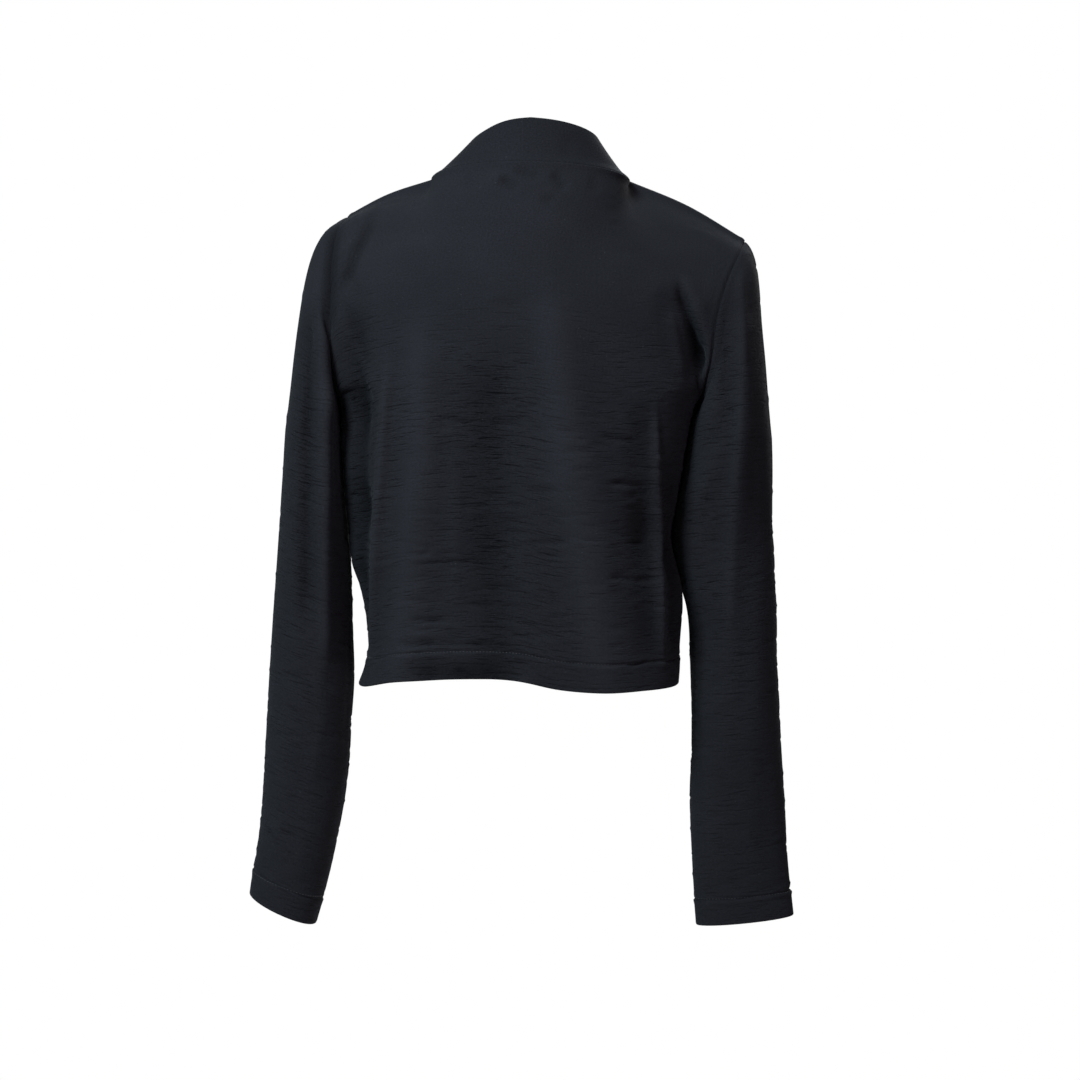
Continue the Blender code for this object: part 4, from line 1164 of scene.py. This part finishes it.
def crease_height(side, points):
    """Rise of the pressed crease at the rear of a sleeve."""
    table = [tuple(row) for row in SLEEVE_CREASE[side]][::-1]
    out, width, rise = np.moveaxis(read_table(table, points[..., 2]), -1, 0)
    inside = (points[..., 2] > table[0][0]) & (points[..., 2] < table[-1][0])
    off = (SIGN[side] * points[..., 0] - out) / width
    begins = ease((table[-1][0] - points[..., 2]) / CREASE_BEGINS)
    return np.where(inside & (points[..., 1] > 0), rise * begins * np.exp(-(off**2)), 0.0)


def raise_folds(pieces):
    """Moves the outer points of the back and the sleeves to their largest folds."""
    back = pieces["back"]
    rise = sum(fold_height(fold, back["grid"]) for fold in BACK_FOLDS.values())
    across = lengths_along(back["grid"].swapaxes(0, 1)).T
    clear = ease(across / CREASE_CLEARANCE) * ease((across[:, -1:] - across) / CREASE_CLEARANCE)
    back["grid"] = back["grid"] + back["facing"] * (rise * clear)[..., None]
    for side in ("left", "right"):
        sleeve = pieces["sleeve_" + side]
        clear = ease(lengths_along(sleeve["grid"]) / CREASE_CLEARANCE)
        rise = crease_height(side, sleeve["grid"]) * clear
        sleeve["grid"] = sleeve["grid"] + sleeve["facing"] * rise[..., None]


def measure(piece):
    """Distances over the cloth: from each edge of the piece, and from the middle for the knit."""
    grid = piece["grid"]
    down = lengths_along(grid)
    ring = np.concatenate((grid, grid[:, :1]), 1) if piece["wraps"] else grid
    across = lengths_along(ring.swapaxes(0, 1)).T
    piece["from_first_row"] = down
    piece["from_last_row"] = down[-1] - down
    if piece["wraps"]:
        whole = across[:, -1:]
        across = across[:, :-1]
        piece["from_seam"] = np.minimum(across, whole - across)
        piece["across"] = across - whole / 2
        piece["down"] = -piece["from_last_row"]
    else:
        piece["from_first_column"] = across
        piece["from_last_column"] = across[:, -1:] - across
        piece["across"] = across - across[:, -1:] / 2
        piece["down"] = down


def seen_rise(crease, seen, points, facings):
    """Rise of a crease that is placed as seen from the back, front, left or right."""
    axis, sign = SEEN[seen]
    flat = points[..., (1 - axis, 2)]
    start = np.array(crease.start)
    along = np.array(crease.end) - start
    from_start = flat - start
    share = np.clip(from_start @ along / (along @ along), 0.0, 1.0)
    off = np.linalg.norm(from_start - share[..., None] * along, axis=-1)
    ends = ease(share / CREASE_END) * ease((1 - share) / CREASE_END)
    toward = ease(facings[..., axis] * sign / FACES_AWAY)
    return crease.height * np.exp(-((off / crease.width) ** 2)) * ends * toward


def seam_profile(distance, seam):
    """A sewn line: a narrow groove, with a soft swell where the turned edges lie."""
    groove = -SEAM_GROOVE * seam.drawn * np.exp(-((distance / SEAM_GROOVE_WIDTH) ** 2))
    swell = seam.swell * np.exp(-(((distance - seam.at) / seam.width) ** 2))
    return groove + swell


def hem_profile(distance, depth):
    """A turned hem: proud of the cloth above it, and drawn in along its stitches."""
    from_stitches = distance - depth
    groove = -HEM_GROOVE * np.exp(-((from_stitches / HEM_GROOVE_WIDTH) ** 2))
    lip = HEM_LIP * np.exp(-(((from_stitches + HEM_LIP_AT) / HEM_LIP_WIDTH) ** 2))
    body = HEM_PROUD * ease(-from_stitches / HEM_LIP_AT)
    above = HEM_ABOVE * np.exp(-(((from_stitches - HEM_LIP_AT) / HEM_LIP_WIDTH) ** 2))
    return groove + lip + body + above


def valley_rise(name, piece):
    """The valley along an armhole, deep where the body and the sleeve are pushed together."""
    grid = piece["grid"]
    rise = np.zeros(grid.shape[:2])
    under = len(row_rises()) - 1
    seams = {"first_row": grid[:1], "first_column": grid[:, :1], "last_column": grid[:, -1:]}
    for edge, side in ARMHOLE_EDGES[name]:
        seam = seams[edge]
        rear = ease(seam[..., 1] / VALLEY_TURNS + 0.5)
        depth = read_table(VALLEY[side], seam[..., 2])
        depth = depth[..., 1] + (depth[..., 0] - depth[..., 1]) * rear
        fall = -depth * np.exp(-((piece["from_" + edge] / VALLEY_WIDTH) ** 2))
        if edge != "first_row":
            fall[:under] = 0.0
        rise += fall
    return rise


def crease_rise(name, piece):
    """Rise of a piece's creases, which fade beside its armholes."""
    grid = piece["grid"]
    rise = np.zeros(grid.shape[:2])
    for seen, creases in CREASES[name].items():
        for crease in creases:
            rise += seen_rise(crease, seen, grid, piece["facing"])
    for edge, _ in ARMHOLE_EDGES[name]:
        rise *= ease(piece["from_" + edge] / CREASE_CLEARANCE)
    return rise


def fold_shade(name, piece, folds):
    """Painted light and shade for the cloth's folds: 1 on a full ridge, below zero in a hollow, lower
    beside the side seams under the arms and on a few whole pieces.
    """
    low = ease((UNDERARM_HEIGHT - piece["grid"][..., 2]) / UNDERARM_PAINTED_SHADE_HEIGHT + 0.5)
    for edge, _ in ARMHOLE_EDGES[name]:
        if edge != "first_row":
            # Painted shade beside the side seams under the arms, where the sleeves shade the body
            folds = folds - UNDERARM_PAINTED_SHADE * low * ease(1 - piece["from_" + edge] / UNDERARM_PAINTED_SHADE_WIDTH)
    return np.clip(folds, DEEPEST_FOLD, 1.0) + PIECE_SHADE.get(name, 0.0)


def finish_edges(piece, rise):
    """A piece's rise with its seams and hems, its thickness, and how far its folded edges draw in."""
    thick = np.full(rise.shape, piece["cloth"])
    drawn = np.zeros(rise.shape)
    for edge, kind in piece["edges"].items():
        distance = piece["from_" + edge]
        if kind == "hem":
            depth = piece["turned"]
            rise = rise + hem_profile(distance, depth)
            thick = np.where(distance < depth + HEM_LIP_AT / 2, FOLDED, thick)
            drawn = np.maximum(drawn, rounding(distance, FOLDED))
        elif kind == "fold":
            drawn = np.maximum(drawn, rounding(distance, piece["cloth"]))
        else:
            seam = SEAM_KINDS[kind]
            rise = rise + seam_profile(distance, seam)
            thick = thick + seam.turned * (1 - ease((distance - SEAM_TURN_WIDTH) / SEAM_TURN_ENDS))
    return rise, thick, drawn


def rounding(distance, thickness):
    """How far each face of a folded edge is drawn in, so that the fold is round."""
    radius = thickness / 2
    inside = np.clip(radius - distance, 0.0, EDGE_TURN * radius)
    return radius - np.sqrt(radius**2 - inside**2)


def dress(name, piece):
    """Gives a piece its creases, puckers, seams and edges, and how thick it is at each point."""
    measure(piece)
    rise = crease_rise(name, piece)
    valley = valley_rise(name, piece)
    # The armhole valleys get more painted shade than their depth alone gives
    folds = (rise + valley * VALLEY_SHADE) / FULL_FOLD
    crepe = read_table(CREPE, piece["grid"][..., 2])[..., 0] * (BAND_CREPE if name == "band" else 1.0)
    piece["crepe"] = crepe * (1 - SMOOTH_ON_FOLDS * np.clip(folds, -1.0, 1.0))
    # Painted light on ridges, and painted shade in hollows and along the armhole valleys
    piece["painted_shading"] = fold_shade(name, piece, folds)
    for number, field in enumerate(PUCKERS[name]):
        rise += pucker_rise(piece, piece["seed"] * SEEDS_A_PIECE + number, field)
    rise, thick, drawn = finish_edges(piece, rise + valley)
    piece["outer"] = piece["grid"] + piece["facing"] * (rise - drawn)[..., None]
    piece["thick"] = thick - 2 * drawn


def grid_quads(rows, columns, wraps, offset, flip):
    """Corners of the squares of a grid of points."""
    index = np.arange(rows * columns).reshape(rows, columns) + offset
    if wraps:
        index = np.concatenate((index, index[:, :1]), 1)
    corners = (index[:-1, :-1], index[:-1, 1:], index[1:, 1:], index[1:, :-1])
    quads = np.stack(corners, -1).reshape(-1, 4)
    return quads[:, ::-1] if flip else quads


def rim_quads(loop, count, flip):
    """Squares that close the edge between the outer and the inner points."""
    loop = np.array(loop)
    after = np.roll(loop, -1)
    quads = np.stack((loop, after, after + count, loop + count), -1)
    return quads[:, ::-1] if flip else quads


def rim_loops(rows, columns, wraps):
    """Points round a grid's edge, as one loop, or two for a tube."""
    index = np.arange(rows * columns).reshape(rows, columns)
    if wraps:
        return [index[0][::-1], index[-1]]
    return [np.concatenate((index[0, ::-1], index[1:, 0], index[-1, 1:], index[-2:0:-1, -1]))]


def mesh_object(name, points, quads, material, cloth=None, painted_shading=None):
    """A smooth-shaded object made of squares."""
    mesh = bpy.data.meshes.new(name)
    mesh.vertices.add(len(points))
    mesh.vertices.foreach_set("co", np.asarray(points, np.float32).ravel())
    mesh.loops.add(quads.size)
    mesh.loops.foreach_set("vertex_index", quads.ravel().astype(np.int32))
    mesh.polygons.add(len(quads))
    mesh.polygons.foreach_set("loop_start", np.arange(0, quads.size, 4, dtype=np.int32))
    mesh.update(calc_edges=True)
    mesh.validate()
    mesh.shade_smooth()
    if cloth is not None:
        layer = mesh.attributes.new("cloth", "FLOAT_VECTOR", "POINT")
        layer.data.foreach_set("vector", np.asarray(cloth, np.float32).ravel())
        # The painted light and shade of the folds, which the knit's colour reads
        layer = mesh.attributes.new("painted_shading", "FLOAT", "POINT")
        layer.data.foreach_set("value", np.asarray(painted_shading, np.float32).ravel())
    mesh.materials.append(material)
    piece = bpy.data.objects.new(name, mesh)
    bpy.context.scene.collection.objects.link(piece)
    return piece


def shell(name, piece, material):
    """The closed shell of one piece: outer points, inner points and the rims between."""
    outer = piece["outer"]
    rows, columns = outer.shape[:2]
    inner = outer - piece["facing"] * piece["thick"][..., None]
    points = np.concatenate((outer.reshape(-1, 3), inner.reshape(-1, 3)))
    count = rows * columns
    flip = piece["sign"] < 0
    quads = [
        grid_quads(rows, columns, piece["wraps"], 0, not flip),
        grid_quads(rows, columns, piece["wraps"], count, flip),
    ]
    quads += [rim_quads(loop, count, not flip) for loop in rim_loops(rows, columns, piece["wraps"])]
    courses = (piece["across"], piece["down"])
    if name.startswith("band"):
        # The band is cut along the knit, so its courses run the other way
        courses = courses[::-1]
    cloth = np.stack((*courses, piece["crepe"]), -1).reshape(-1, 3)
    # Painted light and shade of the folds, the same on both faces
    painted_shading = piece["painted_shading"].ravel()
    return mesh_object(
        name,
        points,
        np.concatenate(quads),
        material,
        cloth=np.tile(cloth, (2, 1)),
        painted_shading=np.tile(painted_shading, 2),
    )


def garment_pieces():
    """Every piece's outer points, and how it is sewn, turned and finished."""
    back = back_grid()
    fronts = {side: front_grid(side) for side in ("left", "right")}
    under = len(row_rises()) - 1
    pieces = {"back": new_piece(back, -1.0, BACK_EDGES, HEM_DEPTH)}
    for side in ("left", "right"):
        pieces["front_" + side] = new_piece(fronts[side], SIGN[side], FRONT_EDGES, HEM_DEPTH)
    ends = {"left": back[under:, 0], "right": back[under:, -1]}
    for side in ("left", "right"):
        armhole = np.concatenate((ends[side], fronts[side][-2:under:-1, 0]))
        grid = sleeve_grid(side, armhole)
        sleeve = new_piece(grid, -SIGN[side], SLEEVE_EDGES, CUFF_DEPTH)
        sleeve["wraps"] = True
        pieces["sleeve_" + side] = sleeve
    band = new_piece(band_grid(fronts["left"], fronts["right"], back), 1.0, BAND_EDGES, 0.0)
    band["cloth"] = FOLDED
    pieces["band"] = band
    return pieces


def new_piece(grid, sign, edges, turned):
    """One piece: its points, which way it faces, its edges and the depth of its hem."""
    return {
        "grid": grid,
        "wraps": False,
        "sign": sign,
        "edges": edges,
        "turned": turned,
        "cloth": CLOTH,
    }


def ease_underarm(piece):
    """Rounds the turn of a body panel where it leaves the lower body, away from its seams."""
    grid = piece["grid"]
    rows, columns = grid.shape[:2]
    under = len(row_rises()) - 1
    near = ease(1 - np.abs(np.arange(rows) - under) / UNDERARM_EASE_ROWS)
    from_edge = np.minimum(np.arange(columns), np.arange(columns)[::-1])
    share = near[:, None] * ease(from_edge / UNDERARM_EASE_COLUMNS)
    for _ in range(UNDERARM_PASSES):
        middle = (grid[:-2] + grid[2:]) / 2
        grid[1:-1] += (middle - grid[1:-1]) * share[1:-1, :, None] * UNDERARM_PULL


def pucker_rise(piece, seed, field):
    """Short shallow puckers of the crinkled knit, mostly across the piece and all different."""
    random = np.random.default_rng(seed)
    across = piece["across"]
    down = piece["down"]
    rows, columns = across.shape
    rise = np.zeros(across.shape)
    for _ in range(field.count):
        row = random.integers(int(field.low * rows), int(field.high * rows))
        column = random.integers(0, columns)
        half = random.uniform(*PUCKER_HALF_LENGTH)
        width = random.uniform(*PUCKER_WIDTH)
        height = random.uniform(*PUCKER_HEIGHT)
        height *= -1 if random.random() < PUCKER_TROUGHS else PUCKER_RIDGE
        turn = random.normal(0.0, PUCKER_TILT)
        bend = random.normal(0.0, PUCKER_BEND)
        beside = across - across[row, column]
        below = down - down[row, column]
        along = math.cos(turn) * beside + math.sin(turn) * below
        off = math.cos(turn) * below - math.sin(turn) * beside - bend * along**2 / half
        near = (np.abs(along) < half) & (np.abs(off) < PUCKER_REACH * width)
        shape = np.exp(-((off[near] / width) ** 2)) * ease(1 - np.abs(along[near]) / half)
        rise[near] += height * shape
    return rise


def node(tree, kind, **values):
    """A shader node with its settings and plain input values."""
    made = tree.nodes.new(kind)
    for name, value in values.items():
        if name in made.bl_rna.properties:
            setattr(made, name, value)
        else:
            made.inputs[name.replace("_", " ")].default_value = value
    return made


def math_node(tree, operation, *values):
    """A sum, product or the like of sockets and numbers."""
    made = tree.nodes.new("ShaderNodeMath")
    made.operation = operation
    for socket, value in zip(made.inputs, values):
        if isinstance(value, (int, float)):
            socket.default_value = value
        else:
            tree.links.new(value, socket)
    return made.outputs[0]


def weighted_sum(tree, sockets, weights):
    """The sum of the sockets that the weights name, each times its weight."""
    total = 0.0
    for name, weight in weights.items():
        total = math_node(tree, "MULTIPLY_ADD", sockets[name], weight, total)
    return total


def noise(tree, place, pattern, shift=(0.0, 0.0, 0.0)):
    """Uneven noise of a pattern, from 0 to 1, at places moved along by a shift."""
    mapping = node(tree, "ShaderNodeMapping")
    mapping.inputs["Location"].default_value = shift
    mapping.inputs["Scale"].default_value = pattern.scale
    tree.links.new(place, mapping.inputs["Vector"])
    made = node(tree, "ShaderNodeTexNoise", Scale=1.0, Detail=pattern.detail)
    made.inputs["Roughness"].default_value = pattern.roughness
    made.inputs["Distortion"].default_value = pattern.distortion
    tree.links.new(mapping.outputs["Vector"], made.inputs["Vector"])
    return made.outputs["Fac"]


def between(tree, value, source, target=(0.0, 1.0)):
    """A value mapped from one range to another, held at its ends."""
    made = node(tree, "ShaderNodeMapRange", clamp=True)
    tree.links.new(value, made.inputs["Value"])
    for end, number in zip(("From Min", "From Max", "To Min", "To Max"), (*source, *target)):
        made.inputs[end].default_value = number
    return made.outputs["Result"]


def colour_ramp(tree, value, dark, light, span=(0.0, 1.0)):
    """Colours from dark to light over a span of a value."""
    ramp = node(tree, "ShaderNodeValToRGB")
    for element, colour, position in zip(ramp.color_ramp.elements, (dark, light), span):
        element.position = position
        element.color = (*colour, 1.0)
    tree.links.new(value, ramp.inputs["Fac"])
    return ramp.outputs["Color"]


def flecked(tree, base, flecks, colour):
    """A colour with flecks of another."""
    mix = node(tree, "ShaderNodeMix", data_type="RGBA")
    under, over = [socket for socket in mix.inputs if socket.type == "RGBA"]
    tree.links.new(base, under)
    over.default_value = (*colour, 1.0)
    tree.links.new(flecks, mix.inputs[0])
    return next(socket for socket in mix.outputs if socket.type == "RGBA")


def add_bump(tree, shader, height, strength, depth):
    """Fine relief in the finish of a surface."""
    bump = node(tree, "ShaderNodeBump", Strength=strength, Distance=depth)
    tree.links.new(height, bump.inputs["Height"])
    tree.links.new(bump.outputs["Normal"], shader.inputs["Normal"])


def new_material(name):
    """A new material, its node tree and its shader."""
    material = bpy.data.materials.new(name)
    material.use_nodes = True
    tree = material.node_tree
    return material, tree, tree.nodes["Principled BSDF"]


def cloth_places(tree):
    """Places on the cloth, across and along it, and how strongly it is crinkled there."""
    attribute = node(tree, "ShaderNodeAttribute", attribute_name="cloth")
    split = node(tree, "ShaderNodeSeparateXYZ")
    tree.links.new(attribute.outputs["Vector"], split.inputs[0])
    flat = node(tree, "ShaderNodeCombineXYZ")
    tree.links.new(split.outputs["X"], flat.inputs["X"])
    tree.links.new(split.outputs["Y"], flat.inputs["Y"])
    return flat.outputs["Vector"], split.outputs["Z"]


def knit_patterns(tree, shift):
    """The patterns that make up the knit, by name."""
    cloth, crepe = cloth_places(tree)
    clouds = noise(tree, cloth, CLOUDS, (shift, 0.0, shift))
    patches = between(tree, clouds, PATCH_RANGE, (PATCH_LEAST, 1.0))
    crinkled = math_node(tree, "MULTIPLY", crepe, patches)
    slubs = between(tree, noise(tree, cloth, SLUBS, (shift, 0.0, 0.0)), SLUB_RANGE)
    fine_slubs = between(tree, noise(tree, cloth, FINE_SLUBS, (0.0, shift, 0.0)), FINE_SLUB_RANGE)
    return {
        "grain": noise(tree, cloth, GRAIN, (shift, shift, 0.0)),
        "wales": noise(tree, cloth, WALES, (0.0, 0.0, shift)),
        "clouds": clouds,
        # The crinkles' grooves: sunk in the relief and painted shade in the tone
        "dashes": math_node(tree, "MULTIPLY", slubs, crinkled),
        "fine dashes": math_node(tree, "MULTIPLY", fine_slubs, crinkled),
        "lint": between(tree, noise(tree, cloth, LINT, (0.0, shift, shift)), LINT_RANGE),
        # Painted light and shade of the folds, read from the points
        "folds": node(tree, "ShaderNodeAttribute", attribute_name="painted_shading").outputs["Fac"],
    }


def knit_material(name, shift):
    """Matt black merino jersey: crinkled across, with a fine grain, heather and a little lint, and
    painted shade in its crinkles and painted light and shade on its folds.
    """
    material, tree, shader = new_material(name)
    patterns = knit_patterns(tree, shift)
    add_bump(tree, shader, weighted_sum(tree, patterns, RELIEF), 1.0, BUMP_DEPTH)
    tone = weighted_sum(tree, patterns, TONE)
    knit = colour_ramp(tree, tone, KNIT_DARK, KNIT_LIGHT, TONE_RANGE)
    linty = flecked(tree, knit, patterns["lint"], LINT_COLOUR)
    rough = between(tree, patterns["grain"], ROUGHNESS_RANGE, KNIT_ROUGHNESS)
    tree.links.new(linty, shader.inputs["Base Color"])
    tree.links.new(rough, shader.inputs["Roughness"])
    shader.inputs["Specular IOR Level"].default_value = KNIT_SPECULAR
    shader.inputs["Sheen Weight"].default_value = SHEEN
    shader.inputs["Sheen Roughness"].default_value = SHEEN_ROUGHNESS
    shader.inputs["Sheen Tint"].default_value = (*SHEEN_TINT, 1.0)
    return material


def thread_material():
    """Black sewing thread, smoother than the knit, with a twist."""
    material, tree, shader = new_material("Black sewing thread")
    twist = noise(tree, node(tree, "ShaderNodeTexCoord").outputs["Object"], THREAD_TWIST)
    colour = colour_ramp(tree, twist, THREAD_DARK, THREAD_LIGHT)
    tree.links.new(colour, shader.inputs["Base Color"])
    add_bump(tree, shader, twist, THREAD_BUMP, THREAD_BUMP_DEPTH)
    shader.inputs["Roughness"].default_value = THREAD_ROUGHNESS
    shader.inputs["Sheen Weight"].default_value = THREAD_SHEEN
    return material


def floor_material():
    """A pale floor, mottled very slightly."""
    material, tree, shader = new_material("Pale floor")
    mottle = noise(tree, node(tree, "ShaderNodeTexCoord").outputs["Object"], FLOOR_MOTTLE)
    colour = colour_ramp(tree, mottle, FLOOR_DARK, FLOOR_LIGHT)
    tree.links.new(colour, shader.inputs["Base Color"])
    shader.inputs["Roughness"].default_value = FLOOR_ROUGHNESS
    return material


def stitch_row(piece):
    """Middle, direction and outward direction of each stitch along a piece's hem."""
    row = int(np.argmin(np.abs(turned_rises(piece["turned"]) - piece["turned"])))
    if piece["wraps"]:
        row = -1 - row
    line = piece["outer"][row]
    out = piece["facing"][row]
    if piece["wraps"]:
        line = np.concatenate((line, line[:1]))
        out = np.concatenate((out, out[:1]))
    along = lengths_along(line)
    count = int(along[-1] / STITCH_PITCH)
    at = (np.arange(count) + 0.5) * along[-1] / count

    def read(values, places):
        return np.stack([np.interp(places, along, values[:, axis]) for axis in range(3)], 1)

    ahead = read(line, at + STITCH_LENGTH / 2) - read(line, at - STITCH_LENGTH / 2)
    return read(line, at), unit(ahead), unit(read(out, at))


def stitches(name, row, material):
    """A line of small, half-sunk stitches as one object."""
    turns = np.linspace(0.0, 2 * np.pi, STITCH_SIDES, endpoint=False)
    rings = []
    quads = []
    for middle, ahead, out in zip(*row):
        side = np.cross(ahead, out)
        quads.append(grid_quads(STITCH_RINGS, STITCH_SIDES, True, len(rings) * STITCH_SIDES, False))
        for step in np.linspace(-1.0, 1.0, STITCH_RINGS):
            fat = STITCH_RADIUS * math.sqrt(max(1 - step**2, 0.0) + STITCH_END)
            centre = middle + ahead * (step * STITCH_LENGTH / 2) - out * (STITCH_SINK * step**2)
            spokes = [math.cos(turn) * side + math.sin(turn) * out for turn in turns]
            rings.append(centre + fat * np.array(spokes))
    points = np.array(rings).reshape(-1, 3)
    return mesh_object(name, points, np.concatenate(quads), material)


def add_light(name, light):
    """A soft rectangular light that faces a point."""
    data = bpy.data.lights.new(name, "AREA")
    data.shape = "RECTANGLE"
    data.size, data.size_y = light.size
    data.energy = light.energy
    data.color = light.colour
    lamp = bpy.data.objects.new(name, data)
    turn = (Vector(light.aim) - Vector(light.place)).to_track_quat("-Z", "Y")
    lamp.matrix_world = Matrix.Translation(light.place) @ turn.to_matrix().to_4x4()
    bpy.context.scene.collection.objects.link(lamp)


def light_scene():
    """White surroundings, with soft lights above, on both sides of the camera and in front."""
    scene = bpy.context.scene
    scene.view_settings.view_transform = "Standard"
    world = bpy.data.worlds.new("Studio")
    scene.world = world
    world.use_nodes = True
    tree = world.node_tree
    ambient = tree.nodes["Background"]
    ambient.inputs["Color"].default_value = (*AMBIENT_COLOUR, 1.0)
    ambient.inputs["Strength"].default_value = AMBIENT
    white = node(tree, "ShaderNodeBackground", Color=(1.0, 1.0, 1.0, 1.0), Strength=1.0)
    rays = node(tree, "ShaderNodeLightPath")
    mix = node(tree, "ShaderNodeMixShader")
    tree.links.new(rays.outputs["Is Camera Ray"], mix.inputs[0])
    tree.links.new(ambient.outputs[0], mix.inputs[1])
    tree.links.new(white.outputs[0], mix.inputs[2])
    tree.links.new(mix.outputs[0], tree.nodes["World Output"].inputs["Surface"])
    for name, light in LIGHTS.items():
        add_light(name, light)


def add_floor():
    """A pale round floor well below the hem."""
    mesh = bpy.data.meshes.new("floor")
    turns = np.linspace(0.0, 2 * np.pi, FLOOR_SIDES, endpoint=False)
    ring = np.stack((np.cos(turns), np.sin(turns), np.zeros(FLOOR_SIDES)), 1) * FLOOR_RADIUS
    mesh.from_pydata((ring + (0.0, 0.0, FLOOR_HEIGHT)).tolist(), [], [list(range(FLOOR_SIDES))])
    mesh.materials.append(floor_material())
    floor = bpy.data.objects.new("floor", mesh)
    bpy.context.scene.collection.objects.link(floor)


def add_camera():
    """The photograph's view, from behind, level and rolled a little."""
    data = bpy.data.cameras.new("camera")
    data.sensor_width = SENSOR
    data.lens = LENS
    data.clip_start = CLIP_START
    camera = bpy.data.objects.new("camera", data)
    back = Vector((0.0, 1.0, 0.0))
    up = Vector((0.0, 0.0, 1.0))
    turn = Matrix((up.cross(back), up, back)).transposed().to_4x4()
    roll = Matrix.Rotation(math.radians(CAMERA_ROLL), 4, "Z")
    camera.matrix_world = Matrix.Translation(CAMERA_PLACE) @ turn @ roll
    bpy.context.scene.collection.objects.link(camera)
    bpy.context.scene.camera = camera


def dress_garment():
    """Builds every piece of the garment and its stitches, each named after its piece."""
    pieces = garment_pieces()
    for name in ("back", "front_left", "front_right"):
        ease_underarm(pieces[name])
    face_pieces(pieces)
    raise_folds(pieces)
    face_pieces(pieces)
    shells = {}
    for number, (name, piece) in enumerate(pieces.items()):
        piece["seed"] = FIRST_SEED + number
        dress(name, piece)
        title = "Black merino, " + name.replace("_", " ")
        knit = knit_material(title, MATERIAL_SHIFT * (number + 1))
        shells[name] = shell(name + "_knit", piece, knit)
        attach(shells[name], "root")
        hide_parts(name)
    thread = thread_material()
    sewn = {name: [] for name in pieces}
    for name, piece in pieces.items():
        if piece["turned"]:
            seam = stitches(name + "_stitches", stitch_row(piece), thread)
            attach(seam, "root")
            sewn[name].append(seam)


dress_garment()
light_scene()
add_floor()
add_camera()
